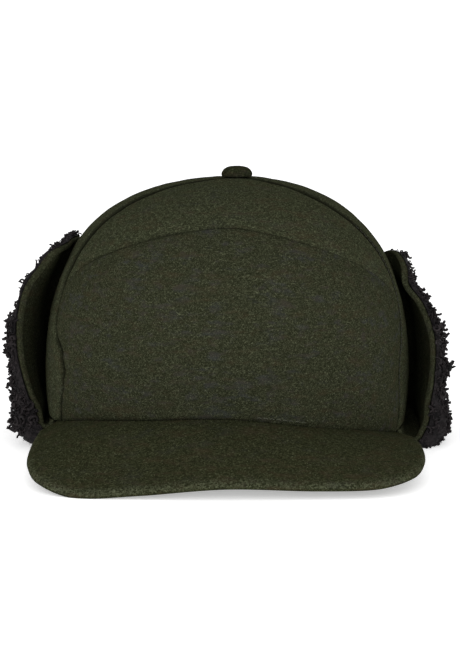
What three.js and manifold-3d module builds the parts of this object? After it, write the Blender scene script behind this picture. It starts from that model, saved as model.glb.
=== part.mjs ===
// Earflap cap of felted wool with turned-up, fleece-lined flaps.
// Millimetres. +Z is up, -Y is the front, +X is the right as seen from the front.
import * as THREE from "three";
import { mergeVertices } from "three/addons/utils/BufferGeometryUtils.js";
import Module from "manifold-3d";

// Crown
const CROWN_HALF_WIDTH = 90.2;
const CROWN_FRONT_LENGTH = 98;
const CROWN_BACK_LENGTH = 103;
const CROWN_HEIGHT = 129;
const WIDEST_LEVEL = 34;
const RIM_INSET = 0.035;
const CROWN_WALL = 2.5;
const PLAN_POWER_FRONT = 2.55;
const PLAN_POWER_BACK = 2.25;
const RISE_POWER = { front: 2.75, side: 2.34, back: 2.25 };
const CROWN_LEAN = -1.8;
const APEX_SHIFT = 3.4;
const APEX_SHIFT_POWER = 10;

// Rim heights above the floor: the front rises over the peak, the back dips to the floor
const RIM_FRONT = 25;
const RIM_SIDE = 11.2;

// Seams
const SEAM_GAP = 0.3;
const SEAM_DEPTH = 1.1;
const SEAM_SOFTNESS = 3.2;
const ARCH_TOP = 112.3;
const ARCH_FOOT_LEFT = 75;
const ARCH_FOOT_RIGHT = 66;
const ARCH_POWER_LEFT = 2;
const ARCH_POWER_RIGHT = 1.7;
const BACK_SEAM = 124;
const LOWER_ROWS = 8;
const UPPER_ROWS = 6;
const ROW_CROWDING = 0.55;
const COLUMN_CROWDING = 0.75;
const FRONT_COLUMNS = 22;
const SIDE_COLUMNS = 7;
const BACK_COLUMNS = 7;

// Top button
const BUTTON_DIAMETER = 15.5;
const BUTTON_HEIGHT = 5.7;
const SHANK_DIAMETER = 4;
const BUTTON_SIDES = 16;

// Peak
const PEAK_SEAM_END = 61;
const PEAK_HALF_WIDTH = 90.4;
const PEAK_REACH = 59;
const PEAK_THICKNESS = 3.8;
const PEAK_CAMBER = 2.2;
const PEAK_EDGE_THINNING = 0.55;
const PEAK_EDGE_SHARE = 0.08;
const PEAK_UNDER_RIM = 0.4;
const PEAK_COLUMNS = 26;
const PEAK_ROWS = 8;

// Ear flaps
const FLAP_WALL = 2.5;
const FLAP_CENTRE = 100;
const FLAP_HALF_SPAN = 33.5;
const FLAP_TOP_LEFT = 94.8;
const FLAP_TOP_RIGHT = 88.4;
const FLAP_BOW_LEFT = 4.5;
const FLAP_BOW_RIGHT = 7;
const FLAP_EDGE_BOW = 13.7;
const FLAP_FLARE_POWER = 3.5;
const FLAP_TUCK = 0.55;
const FLAP_NARROWING = 0.4;
const FLAP_CORNER_POWER = 3.2;
const FLAP_DROOP = 0.2;
const FLAP_FOLLOWS = 0.6;
const FOLD_RADIUS_LEFT = 3;
const FOLD_RADIUS_RIGHT = 5.4;
const FOLD_DROP = 0.6;
const FLEECE_PILE = 6.2;
const PILE_AT_EDGE = 0.55;
const PILE_INSIDE = 0.35;
const PILE_LUMPS = 0.12;
const PILE_TOP_THINNING = 0.45;
const PILE_THINS_FROM = 0.68;
const FOLD_FULLEST = 0.28;
const FOLD_FULLNESS = 0.15;
const FOLD_SWELL = 0.95;
const LOCK_WIDTH = 9;
const LOCK_STAND = 2.2;
const LOCK_ROWS = 7;
const LOCK_COLUMNS = 8;
const LOCK_STRAY = 0.03;
const LOCKS_FROM = 0.17;
const LOCKS_TO = 0.965;
const FLAP_ROWS = 14;
const FOLD_ROWS = 4;
const FLAP_COLUMNS = 12;

// Length of the crown's face from rim to apex
const MERIDIAN = 1.2 * CROWN_HEIGHT;

// The clear space that touching pieces keep
const CLEARANCE = 0.3;
const FLEECE_CLEARANCE = 0.8;
const TOP_CLEARANCE = 1.2;

// Steps of the half turn at the fold
const FOLD_TURNS = 5;

const RIGHT = 1;
const LEFT = -1;

const radians = THREE.MathUtils.degToRad;
const lerp = THREE.MathUtils.lerp;
const smooth = THREE.MathUtils.smoothstep;

// Broad dents of the worn crown: where each lies, how deep and how wide it is, as shares of the crown
const CROWN_DENTS = [
  { azimuth: -60, level: 0.27, depth: 0.02, spread: 0.09 },
  { azimuth: 63, level: 0.3, depth: 0.016, spread: 0.11 },
  { azimuth: 30, level: 0.42, depth: 0.01, spread: 0.16 },
  { azimuth: -34, level: 0.5, depth: 0.008, spread: 0.14 },
  { azimuth: 95, level: 0.36, depth: 0.02, spread: 0.16 },
  { azimuth: -98, level: 0.34, depth: 0.02, spread: 0.16 },
  { azimuth: 158, level: 0.45, depth: 0.022, spread: 0.2 },
  { azimuth: -150, level: 0.3, depth: 0.018, spread: 0.18 },
];

// Front edge of the peak, left to right: across is a share of the half width, ahead of the
// reach beyond the crown's front, and height of the front rim's height, at the peak's top face
const PEAK_EDGE = [
  { across: -0.985, ahead: -0.55, height: 0.56 },
  { across: -1.01, ahead: -0.05, height: 0.47 },
  { across: -1.0, ahead: 0.4, height: 0.39 },
  { across: -0.93, ahead: 0.74, height: 0.27 },
  { across: -0.76, ahead: 0.92, height: 0.12 },
  { across: -0.45, ahead: 0.98, height: 0.18 },
  { across: 0, ahead: 1, height: 0.31 },
  { across: 0.45, ahead: 0.98, height: 0.27 },
  { across: 0.76, ahead: 0.92, height: 0.28 },
  { across: 0.93, ahead: 0.74, height: 0.38 },
  { across: 1.0, ahead: 0.4, height: 0.46 },
  { across: 1.01, ahead: -0.05, height: 0.5 },
  { across: 0.985, ahead: -0.55, height: 0.45 },
];

// The flap's way up the crown from its fold: rise is a share of the flap's height, and left
// and right of its bow away from the crown on each side
const FLAP_SECTION = [
  { rise: 0.06, left: 0.25, right: 0.75 },
  { rise: 0.16, left: 0.51, right: 0.65 },
  { rise: 0.3, left: 0.74, right: 0.83 },
  { rise: 0.45, left: 0.92, right: 0.86 },
  { rise: 0.6, left: 0.99, right: 0.77 },
  { rise: 0.74, left: 0.96, right: 0.52 },
  { rise: 0.86, left: 0.76, right: 0.19 },
  { rise: 0.94, left: 0.62, right: 0.39 },
  { rise: 1.0, left: 0.36, right: 0.62 },
];

// Height of the rim round the crown, as shares of its front and side heights
const RIM = [
  { azimuth: -180, front: 0, side: 0 },
  { azimuth: -157, front: 0, side: 0 },
  { azimuth: -137, front: 0, side: 1 },
  { azimuth: -92, front: 0, side: 1 },
  { azimuth: -62, front: 0.38, side: 0.5 },
  { azimuth: -40, front: 0.84, side: 0 },
  { azimuth: -17, front: 0.97, side: 0 },
  { azimuth: -3, front: 1, side: 0 },
  { azimuth: 10, front: 0.945, side: 0 },
  { azimuth: 26, front: 0.79, side: 0 },
  { azimuth: 41, front: 0.64, side: 0 },
  { azimuth: 62, front: 0.06, side: 0.74 },
  { azimuth: 92, front: 0, side: 0.98 },
  { azimuth: 137, front: 0, side: 1 },
  { azimuth: 157, front: 0, side: 0 },
  { azimuth: 180, front: 0, side: 0 },
];

// Seams between the front and the side panels: azimuths by share of the crown's height
const FRONT_SEAMS = [
  { level: 0.05, left: 56, right: 61 },
  { level: 0.32, left: 53.5, right: 62 },
  { level: 0.48, left: 61, right: 65 },
  { level: 0.66, left: 63.5, right: 68 },
  { level: 0.84, left: 63, right: 63 },
  { level: 1, left: 59, right: 53 },
];

// The azimuth is in degrees from the front, positive to the right.
function heading(azimuth) {
  return new THREE.Vector3(Math.sin(radians(azimuth)), -Math.cos(radians(azimuth)), 0);
}

function planRadius(azimuth) {
  const way = heading(azimuth);
  const front = way.y < 0;
  const length = front ? CROWN_FRONT_LENGTH : CROWN_BACK_LENGTH;
  const power = front ? PLAN_POWER_FRONT : PLAN_POWER_BACK;
  const across = Math.pow(Math.abs(way.x) / CROWN_HALF_WIDTH, power);
  const along = Math.pow(Math.abs(way.y) / length, power);
  return Math.pow(across + along, -1 / power);
}

function risePower(azimuth) {
  const forward = Math.cos(radians(azimuth));
  const end = forward > 0 ? RISE_POWER.front : RISE_POWER.back;
  return lerp(RISE_POWER.side, end, forward * forward);
}

// Reads a column of a table at a value of its key column, with a smooth curve between rows.
function readTable(rows, key, at, column) {
  let i = 0;
  while (i < rows.length - 2 && rows[i + 1][key] < at) i += 1;
  const slope = (n) => {
    const before = rows[Math.max(n - 1, 0)];
    const after = rows[Math.min(n + 1, rows.length - 1)];
    return (after[column] - before[column]) / (after[key] - before[key]);
  };
  const step = rows[i + 1][key] - rows[i][key];
  const t = THREE.MathUtils.clamp((at - rows[i][key]) / step, 0, 1);
  const turn = t * t * (3 - 2 * t);
  const start = t * (1 - t) * (1 - t) * step * slope(i);
  const end = t * t * (t - 1) * step * slope(i + 1);
  return lerp(rows[i][column], rows[i + 1][column], turn) + start + end;
}

// Sideways shift of the crown's face, which leans and ends off its middle
function sway(share) {
  return CROWN_LEAN * (1 - share) + APEX_SHIFT * Math.pow(share, APEX_SHIFT_POWER);
}

function rimHeight(azimuth) {
  const front = readTable(RIM, "azimuth", azimuth, "front");
  const side = readTable(RIM, "azimuth", azimuth, "side");
  return Math.max(front * RIM_FRONT + side * RIM_SIDE, 0);
}

// Share of the meridian that lies below the widest level
function lowShare(azimuth) {
  const low = WIDEST_LEVEL - rimHeight(azimuth);
  return low / (low + CROWN_HEIGHT);
}

// Share of the meridian at which a panel reaches a height
function shareAtHeight(azimuth, height) {
  const low = lowShare(azimuth);
  const rise = (height - WIDEST_LEVEL) / (CROWN_HEIGHT - WIDEST_LEVEL);
  const angle = Math.asin(Math.pow(rise, risePower(azimuth) / 2));
  return low + ((1 - low) * angle) / (Math.PI / 2);
}

function dentAt(azimuth, level) {
  let dent = 0;
  for (const row of CROWN_DENTS) {
    const aside = radians(azimuth - row.azimuth);
    const above = level - row.level;
    dent += row.depth * Math.exp(-(aside * aside + above * above) / (row.spread * row.spread));
  }
  return dent * CROWN_HALF_WIDTH;
}

// A point of the crown's outer face: share runs from 0 at the rim to 1 at the apex.
function crownPoint(azimuth, share) {
  const low = lowShare(azimuth);
  const power = 2 / risePower(azimuth);
  let height;
  let reach;
  if (share < low) {
    height = lerp(rimHeight(azimuth), WIDEST_LEVEL, share / low);
    const below = (WIDEST_LEVEL - height) / WIDEST_LEVEL;
    reach = 1 - RIM_INSET * below * below;
  } else {
    const angle = ((share - low) / (1 - low)) * (Math.PI / 2);
    height = lerp(WIDEST_LEVEL, CROWN_HEIGHT, Math.pow(Math.sin(angle), power));
    reach = Math.pow(Math.max(Math.cos(angle), 0), power);
  }
  const radius = planRadius(azimuth) * reach - dentAt(azimuth, height / CROWN_HEIGHT) * reach;
  const point = heading(azimuth).multiplyScalar(radius);
  point.x += sway(share);
  point.z = height;
  return point;
}

function crownNormal(azimuth, share) {
  const step = 0.004;
  const up = Math.min(share + step, 0.998);
  const down = Math.max(up - 2 * step, 0);
  const side = crownPoint(azimuth + 1, share).sub(crownPoint(azimuth - 1, share));
  const rise = crownPoint(azimuth, up).sub(crownPoint(azimuth, down));
  return side.cross(rise).normalize();
}

// Azimuth of the seam between the front and a side panel
function frontSeam(side, share) {
  const level = crownPoint(side * PEAK_SEAM_END, share).z / CROWN_HEIGHT;
  return side * readTable(FRONT_SEAMS, "level", level, side === RIGHT ? "right" : "left");
}

// Share of the meridian where the panels end round the button's shank
function topShare(azimuth) {
  const hole = SHANK_DIAMETER / 2 + CLEARANCE;
  const power = risePower(azimuth);
  const angle = Math.acos(Math.pow(hole / planRadius(azimuth), power / 2));
  const low = lowShare(azimuth);
  return low + ((1 - low) * angle) / (Math.PI / 2);
}

// Share at which the arch seam crosses: aside is 0 in the middle of the front and 1 at its seams.
function archShare(azimuth, aside) {
  const turn = radians(PEAK_SEAM_END);
  const across = Math.min(Math.sin(aside * turn) / Math.sin(turn), 1);
  const power = azimuth > 0 ? ARCH_POWER_RIGHT : ARCH_POWER_LEFT;
  const rise = Math.pow(1 - Math.pow(across, power), 1 / power);
  const foot = azimuth > 0 ? ARCH_FOOT_RIGHT : ARCH_FOOT_LEFT;
  const middle = (ARCH_FOOT_LEFT + ARCH_FOOT_RIGHT) / 2;
  const level = lerp(middle, foot, smooth(180 - Math.abs(azimuth), 0, 180 - BACK_SEAM));
  return shareAtHeight(azimuth, lerp(level, ARCH_TOP, rise));
}

// Rows below and above the arch seam, which every panel shares so that their edges meet
function lowerRows(v, azimuth, aside) {
  return archShare(azimuth, aside) * crowd(v, ROW_CROWDING);
}

function upperRows(v, azimuth, aside) {
  return lerp(archShare(azimuth, aside), topShare(azimuth), crowd(v, ROW_CROWDING));
}

function allRows(v, azimuth) {
  const split = LOWER_ROWS / (LOWER_ROWS + UPPER_ROWS);
  if (v < split) return lowerRows(v / split, azimuth, 1);
  return upperRows((v - split) / (1 - split), azimuth, 1);
}

// Crowds evenly spaced values from 0 to 1 towards both ends.
function crowd(value, amount) {
  return lerp(value, (1 - Math.cos(Math.PI * value)) / 2, amount);
}

// A closed sheet: a segmented slab whose vertices place(u, v, depth) puts where they belong,
// with u to the right seen from outside, v upwards and depth from 0 outside to 1 inside.
function sheet(columns, rows, place) {
  const slab = new THREE.BoxGeometry(1, 1, 1, columns, rows, 1);
  slab.deleteAttribute("normal");
  slab.deleteAttribute("uv");
  const points = slab.getAttribute("position");
  for (let i = 0; i < points.count; i += 1) {
    const at = place(points.getX(i) + 0.5, points.getY(i) + 0.5, 0.5 - points.getZ(i));
    points.setXYZ(i, at.x, at.y, at.z);
  }
  const closed = mergeVertices(slab, 1e-4);
  closed.computeVertexNormals();
  return closed;
}

function wool(colour) {
  return new THREE.MeshStandardMaterial({ color: colour, roughness: 0.95, metalness: 0 });
}

function piece(name, geometry, material) {
  const mesh = new THREE.Mesh(geometry, material);
  mesh.name = name;
  return mesh;
}

// One panel of the crown between two seams. Its edges roll inwards where it is sewn.
function crownPanel(panel) {
  const { startAzimuth, endAzimuth, shareAt, archAbove, archBelow } = panel;
  const place = (u, v, depth) => {
    const across = crowd(u, COLUMN_CROWDING);
    const aside = Math.abs(2 * across - 1);
    let share = 0.5;
    let azimuth = 0;
    for (let pass = 0; pass < 8; pass += 1) {
      azimuth = lerp(startAzimuth(share), endAzimuth(share), across);
      share = shareAt(v, azimuth, aside);
    }
    const outer = crownPoint(azimuth, share);
    const radius = Math.hypot(outer.x - sway(share), outer.y);
    const span = radians(endAzimuth(share) - startAzimuth(share)) * radius;
    const near = [across * span, (1 - across) * span];
    if (archAbove || archBelow) {
      near.push(Math.abs(share - archShare(azimuth, aside)) * MERIDIAN);
    }
    const halfGap = (SEAM_GAP / 2 / Math.max(radius, SHANK_DIAMETER / 2)) * (180 / Math.PI);
    azimuth += halfGap * (1 - 2 * across);
    const gapShare = SEAM_GAP / 2 / CROWN_HEIGHT;
    if (archBelow) share += gapShare * (1 - v);
    if (archAbove) share -= gapShare * v;
    const edge = Math.min(...near) / SEAM_SOFTNESS;
    const roll = SEAM_DEPTH * Math.exp(-edge * edge) * smooth(radius, 6, 30);
    const normal = crownNormal(azimuth, share);
    const atRim = share <= 0;
    if (atRim) normal.setZ(0).normalize();
    return crownPoint(azimuth, share).addScaledVector(normal, -roll - depth * CROWN_WALL);
  };
  return piece(panel.name, sheet(panel.columns, panel.rows, place), wool(panel.colour));
}

function crownPanels() {
  const left = (share) => frontSeam(LEFT, share);
  const right = (share) => frontSeam(RIGHT, share);
  const backSeam = (side) => () => side * BACK_SEAM;
  const middle = (side) => () => side * 180;
  const front = { startAzimuth: left, endAzimuth: right, columns: FRONT_COLUMNS, colour: "#35362a" };
  const lower = { ...front, rows: LOWER_ROWS, shareAt: lowerRows, archAbove: true };
  const upper = { ...front, rows: UPPER_ROWS, shareAt: upperRows, archBelow: true };
  const whole = { rows: LOWER_ROWS + UPPER_ROWS, shareAt: allRows };
  const side = { ...whole, columns: SIDE_COLUMNS, colour: "#33352a" };
  const back = { ...whole, columns: BACK_COLUMNS, colour: "#313328" };
  const panels = [
    { ...lower, name: "crown_front_lower" },
    { ...upper, name: "crown_front_upper" },
    { ...side, name: "crown_side_left", startAzimuth: backSeam(LEFT), endAzimuth: left },
    { ...side, name: "crown_side_right", startAzimuth: right, endAzimuth: backSeam(RIGHT) },
    { ...back, name: "crown_back_left", startAzimuth: middle(LEFT), endAzimuth: backSeam(LEFT) },
    { ...back, name: "crown_back_right", startAzimuth: backSeam(RIGHT), endAzimuth: middle(RIGHT) },
  ];
  return panels.map(crownPanel);
}

// Cloth-covered button, riveted through the hole where the panels meet
function topButton() {
  const radius = BUTTON_DIAMETER / 2;
  const shank = SHANK_DIAMETER / 2;
  const seat = CLEARANCE;
  const depth = CROWN_WALL + CLEARANCE;
  const profile = [
    new THREE.Vector2(0, -depth),
    new THREE.Vector2(shank, -depth),
    new THREE.Vector2(shank, seat),
    new THREE.Vector2(radius * 0.8, seat),
    new THREE.Vector2(radius, seat + BUTTON_HEIGHT * 0.25),
    new THREE.Vector2(radius * 0.97, seat + BUTTON_HEIGHT * 0.55),
    new THREE.Vector2(radius * 0.78, seat + BUTTON_HEIGHT * 0.82),
    new THREE.Vector2(radius * 0.45, seat + BUTTON_HEIGHT * 0.96),
    new THREE.Vector2(0, seat + BUTTON_HEIGHT),
  ];
  const turned = new THREE.LatheGeometry(profile, BUTTON_SIDES);
  turned.rotateX(Math.PI / 2);
  const button = piece("top_button", turned, wool("#2b2c20"));
  button.position.set(APEX_SHIFT, 0, CROWN_HEIGHT);
  return button;
}

// Stiffened peak, sewn under the front rim from seam to seam
function peak() {
  const edge = new THREE.CatmullRomCurve3(
    PEAK_EDGE.map(
      (row) =>
        new THREE.Vector3(
          row.across * PEAK_HALF_WIDTH + CROWN_LEAN,
          -(CROWN_FRONT_LENGTH + row.ahead * PEAK_REACH),
          row.height * RIM_FRONT,
        ),
    ),
    false,
    "centripetal",
  );
  const top = (u, v) => {
    const azimuth = lerp(-1, 1, u) * PEAK_SEAM_END;
    const inner = crownPoint(azimuth, 0);
    const normal = crownNormal(azimuth, 0).setZ(0).normalize();
    inner.addScaledVector(normal, -CROWN_WALL * PEAK_UNDER_RIM);
    inner.z -= CLEARANCE;
    const outer = edge.getPoint(u);
    const at = inner.lerp(outer, v);
    at.z += PEAK_CAMBER * Math.sin(Math.PI * Math.pow(v, 0.8)) * (1 - Math.abs(2 * u - 1));
    return at;
  };
  const place = (u, v, depth) => {
    const along = crowd(u, 0.15);
    const out = crowd(1 - v, 0.5);
    const at = top(along, out);
    const thinning = PEAK_EDGE_THINNING * (1 - Math.min((1 - out) / PEAK_EDGE_SHARE, 1));
    at.z -= depth * PEAK_THICKNESS + (0.5 - depth) * PEAK_THICKNESS * thinning;
    return at;
  };
  return piece("peak", sheet(PEAK_COLUMNS, PEAK_ROWS, place), wool("#2d2e22"));
}

function flapTop(side) {
  return side === RIGHT ? FLAP_TOP_RIGHT : FLAP_TOP_LEFT;
}

// The flap's section at one azimuth: distance out from the crown's face and height, by share
// of its length, as the middle of the wool. It starts under the rim and turns round the fold.
function flapSection(side, rim, bow) {
  const radius = side === RIGHT ? FOLD_RADIUS_RIGHT : FOLD_RADIUS_LEFT;
  const start = new THREE.Vector2(-CROWN_WALL / 2, rim - CLEARANCE);
  const centre = new THREE.Vector2(start.x + radius, start.y - FOLD_DROP);
  const points = [start];
  for (let turn = 0; turn < FOLD_TURNS; turn += 1) {
    const angle = Math.PI * (1 + turn / FOLD_TURNS);
    points.push(
      new THREE.Vector2(
        centre.x + radius * Math.cos(angle),
        centre.y + radius * Math.sin(angle),
      ),
    );
  }
  const foot = CLEARANCE + FLAP_WALL / 2;
  for (const row of FLAP_SECTION) {
    const stand = (side === RIGHT ? row.right : row.left) * bow;
    points.push(new THREE.Vector2(foot + CLEARANCE + stand, lerp(rim, flapTop(side), row.rise)));
  }
  return points;
}

// How far a flap bows off the crown: its front edge flares, and its back edge lies close.
function flapBow(side, along) {
  const bow = side === RIGHT ? FLAP_BOW_RIGHT : FLAP_BOW_LEFT;
  if (along < 0) return lerp(bow, FLAP_EDGE_BOW, Math.pow(-along, FLAP_FLARE_POWER));
  return bow * (1 - FLAP_TUCK * along * along);
}

// A point of a flap's sheet. along runs -1 at the front edge to 1 at the back edge, up runs
// 0 under the rim to 1 at the top edge, and out is the distance from the wool's middle.
function flapPoint(side, along, up, out) {
  const narrow = 1 - FLAP_NARROWING * Math.pow(up, FLAP_CORNER_POWER);
  const azimuth = side * (FLAP_CENTRE + FLAP_HALF_SPAN * along * narrow);
  const bow = flapBow(side, along);
  const droop = FLAP_DROOP * along * along * up * up;
  const rim = rimHeight(azimuth);
  const section = flapSection(side, rim, bow);
  const spine = section.map((point) => new THREE.Vector3(point.x, point.y, 0));
  const curve = new THREE.CatmullRomCurve3(spine, false, "centripetal");
  const foldRows = FOLD_ROWS / FLAP_ROWS;
  const foldPart = (FOLD_TURNS + 1) / (section.length - 1);
  let reach = (foldPart * up) / foldRows;
  if (up >= foldRows) {
    reach = foldPart + ((1 - foldPart) * (1 - droop) * (up - foldRows)) / (1 - foldRows);
  }
  const at = curve.getPoint(reach);
  const way = curve.getTangent(reach);
  const offset = new THREE.Vector2(at.x + way.y * out, at.y - way.x * out);
  return standOff(azimuth, offset.x, offset.y);
}

// The point that lies out from the crown's face, level with a height
function standOff(azimuth, out, height) {
  const rim = rimHeight(azimuth);
  let share;
  if (height <= rim) {
    share = 0;
  } else if (height < WIDEST_LEVEL) {
    share = (lowShare(azimuth) * (height - rim)) / (WIDEST_LEVEL - rim);
  } else {
    share = shareAtHeight(azimuth, Math.min(height, CROWN_HEIGHT));
  }
  const face = crownPoint(azimuth, share);
  const normal = crownNormal(azimuth, share);
  const level = normal.clone().setZ(0).normalize();
  if (height <= rim) return face.addScaledVector(level, out).setZ(height);
  return face.addScaledVector(level.lerp(normal, FLAP_FOLLOWS).normalize(), out);
}

// Wool sheets run round the fold; u goes from front to back on the right side of the cap.
function flapSheet(side, rows, inner, outer) {
  const from = 1 - rows / FLAP_ROWS;
  const place = (u, v, depth) => {
    const along = side === RIGHT ? 2 * u - 1 : 1 - 2 * u;
    const up = lerp(from, 1, v);
    return flapPoint(side, along, up, lerp(outer(along, up), inner(along, up), depth));
  };
  return sheet(FLAP_COLUMNS, rows, place);
}

function earFlap(name, side) {
  const half = () => FLAP_WALL / 2;
  const back = () => -FLAP_WALL / 2;
  return piece(name, flapSheet(side, FLAP_ROWS, back, half), wool("#2c2e20"));
}

function solidOf(wasm, geometry) {
  const bare = geometry.clone();
  bare.deleteAttribute("normal");
  if (bare.getAttribute("uv")) bare.deleteAttribute("uv");
  const merged = mergeVertices(bare, 1e-4);
  return new wasm.Manifold(
    new wasm.Mesh({
      numProp: 3,
      vertProperties: merged.getAttribute("position").array,
      triVerts: new Uint32Array(merged.index.array),
    }),
  );
}

function geometryOf(solid) {
  const mesh = solid.getMesh();
  const geometry = new THREE.BufferGeometry();
  geometry.setAttribute("position", new THREE.BufferAttribute(mesh.vertProperties, 3));
  geometry.setIndex(new THREE.BufferAttribute(mesh.triVerts, 1));
  geometry.computeVertexNormals();
  return geometry;
}

// Curly fleece: a padded backing over the wool, with locks fused to its outer face
function fleece(wasm, name, side) {
  const rows = FLAP_ROWS - 1;
  const thinned = (up) => 1 - PILE_TOP_THINNING * smooth(up, PILE_THINS_FROM, 1);
  const base = (up) => FLAP_WALL / 2 + FLEECE_CLEARANCE + TOP_CLEARANCE * smooth(up, PILE_THINS_FROM, 1);
  const pile = (along, up) => {
    const rim = Math.max(Math.abs(along), up);
    const inside = PILE_INSIDE * smooth(1 - rim, 0, 0.12);
    const lump = PILE_LUMPS * Math.sin(9 * along + 5 * up) * Math.sin(11 * up - 4 * along);
    const fold = (up - FOLD_FULLEST) / FOLD_FULLNESS;
    const swell = FOLD_SWELL * Math.exp(-fold * fold);
    return base(up) + FLEECE_PILE * thinned(up) * (PILE_AT_EDGE + inside + lump + swell);
  };
  let solid = solidOf(wasm, flapSheet(side, rows, (along, up) => base(up), pile));
  THREE.MathUtils.seededRandom(side === RIGHT ? 11 : 23);
  const random = (low, high) => lerp(low, high, THREE.MathUtils.seededRandom());
  for (let row = 0; row < LOCK_ROWS; row += 1) {
    for (let column = 0; column < LOCK_COLUMNS; column += 1) {
      const stagger = row % 2 ? 0.5 : 0;
      const across = (column + stagger) / (LOCK_COLUMNS - 0.5);
      const along = lerp(-LOCKS_TO, LOCKS_TO, across) + random(-LOCK_STRAY, LOCK_STRAY);
      const up = lerp(LOCKS_FROM, LOCKS_TO, row / (LOCK_ROWS - 1)) + random(-LOCK_STRAY, LOCK_STRAY) / 2;
      const deep = pile(along, up);
      const radius = (LOCK_WIDTH / 2) * random(0.8, 1.1) * thinned(up);
      const reach = Math.max(deep + LOCK_STAND * thinned(up) - radius, base(up) + radius);
      const at = flapPoint(side, along, up, reach);
      const lock = new THREE.IcosahedronGeometry(radius, 0);
      lock.rotateX(random(0, Math.PI));
      lock.rotateZ(random(0, Math.PI));
      lock.translate(at.x, at.y, at.z);
      solid = solid.add(solidOf(wasm, lock));
    }
  }
  // The fold is pressed flat where it lies on the floor.
  const floor = new THREE.BoxGeometry(4 * CROWN_HALF_WIDTH, 4 * CROWN_BACK_LENGTH, CROWN_HEIGHT);
  floor.translate(0, 0, -CROWN_HEIGHT / 2);
  solid = solid.subtract(solidOf(wasm, floor));
  const material = new THREE.MeshStandardMaterial({ color: "#1f1b1b", roughness: 1, metalness: 0 });
  return piece(name, geometryOf(solid), material);
}

const wasm = await Module();
wasm.setup();

// The pieces stand round the crown's own axis, and the finished cap's origin is the middle of
// the box round it, on the floor.
const cap = new THREE.Group();
cap.add(...crownPanels());
cap.add(topButton());
cap.add(peak());
cap.add(earFlap("ear_flap_left", LEFT));
cap.add(earFlap("ear_flap_right", RIGHT));
cap.add(fleece(wasm, "ear_flap_fleece_left", LEFT));
cap.add(fleece(wasm, "ear_flap_fleece_right", RIGHT));

const bounds = new THREE.Box3().setFromObject(cap, true);
const middle = bounds.getCenter(new THREE.Vector3());
cap.position.set(-middle.x, -middle.y, -bounds.min.z);

export default cap;
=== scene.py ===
"""Looks of an earflap cap: felted melton wool, a stiff cloth-covered peak and flaps turned up to
show their curly fleece lining.

Sizes are millimetres in the crown's own frame: the crown's axis is x = y = 0, the front is -Y,
and z = 0 is the surface that the cap stands on. CapFrame turns them into the model's metres.
"""

from __future__ import annotations

import logging
import math
from collections.abc import Callable, Sequence
from dataclasses import dataclass
from enum import Enum

import bmesh
import bpy
import numpy as np
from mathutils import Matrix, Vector, noise

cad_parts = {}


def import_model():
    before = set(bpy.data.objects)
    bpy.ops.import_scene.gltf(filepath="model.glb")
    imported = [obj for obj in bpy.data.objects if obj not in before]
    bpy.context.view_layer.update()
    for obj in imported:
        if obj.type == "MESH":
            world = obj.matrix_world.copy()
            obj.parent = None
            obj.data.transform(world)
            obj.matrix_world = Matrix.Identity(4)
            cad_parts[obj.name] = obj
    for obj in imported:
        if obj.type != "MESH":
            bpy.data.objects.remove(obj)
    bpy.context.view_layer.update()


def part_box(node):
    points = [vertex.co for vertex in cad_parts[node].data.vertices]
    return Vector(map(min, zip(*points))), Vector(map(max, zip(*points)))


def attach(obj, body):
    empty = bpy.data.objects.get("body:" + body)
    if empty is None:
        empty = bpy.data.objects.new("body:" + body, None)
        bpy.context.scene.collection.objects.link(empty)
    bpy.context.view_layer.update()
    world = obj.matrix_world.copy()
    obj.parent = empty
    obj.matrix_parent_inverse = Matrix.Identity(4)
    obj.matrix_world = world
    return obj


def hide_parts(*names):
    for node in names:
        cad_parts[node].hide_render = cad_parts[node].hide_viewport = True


Array = np.ndarray
Piece = bpy.types.Object
Material = bpy.types.Material
Tree = bpy.types.NodeTree
Socket = bpy.types.NodeSocket
Inputs = dict[str | int, object]

LOG = logging.getLogger("earflap_cap")
MM = 0.001
BODY = "root"
THINNEST = 0.05  # half thickness in millimetres that a rounded edge keeps


class Side(Enum):
    """A side of the cap as seen from the front; the value is the sign of its x."""

    LEFT = -1
    RIGHT = 1


# Small maths


def lerp(a: Array | float, b: Array | float, t: Array | float) -> Array | float:
    """Mixes a and b by t."""
    return a + (b - a) * t


def smooth(value: Array | float, low: float, high: float) -> Array | float:
    """Rises smoothly from 0 at low to 1 at high."""
    t = np.clip((value - low) / (high - low), 0.0, 1.0)
    return t * t * (3 - 2 * t)


def crowd(value: Array, amount: float) -> Array:
    """Crowds evenly spaced values from 0 to 1 towards both ends."""
    return lerp(value, (1 - np.cos(np.pi * value)) / 2, amount)


def fall(away: Array, width: Array | float, power: float = 2) -> Array:
    """Falls from 1 where away is 0 towards 0 past a width, more squarely with a higher power."""
    return np.exp(-((away / width) ** power))


def unit(vectors: Array) -> Array:
    """Scales vectors to length 1."""
    return vectors / np.maximum(np.linalg.norm(vectors, axis=-1, keepdims=True), 1e-9)


def ripple(points: Array, scale: float, seed: float, octaves: int = 2) -> Array:
    """Smooth noise over points.

    Args:
        points: places in millimetres, in any shape that ends in 3.
        scale: size of the noise's swells in millimetres.
        seed: shift that makes one noise differ from another.
        octaves: layers of noise, each half as large as the one before.

    Returns:
        Values of about -1 to 1, in the points' shape without its last axis.
    """
    flat = points.reshape(-1, 3) / scale + seed * 7.31
    values = [noise.fractal(Vector(p), 1.0, 2.0, octaves) for p in flat]
    return np.array(values).reshape(points.shape[:-1])


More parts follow.
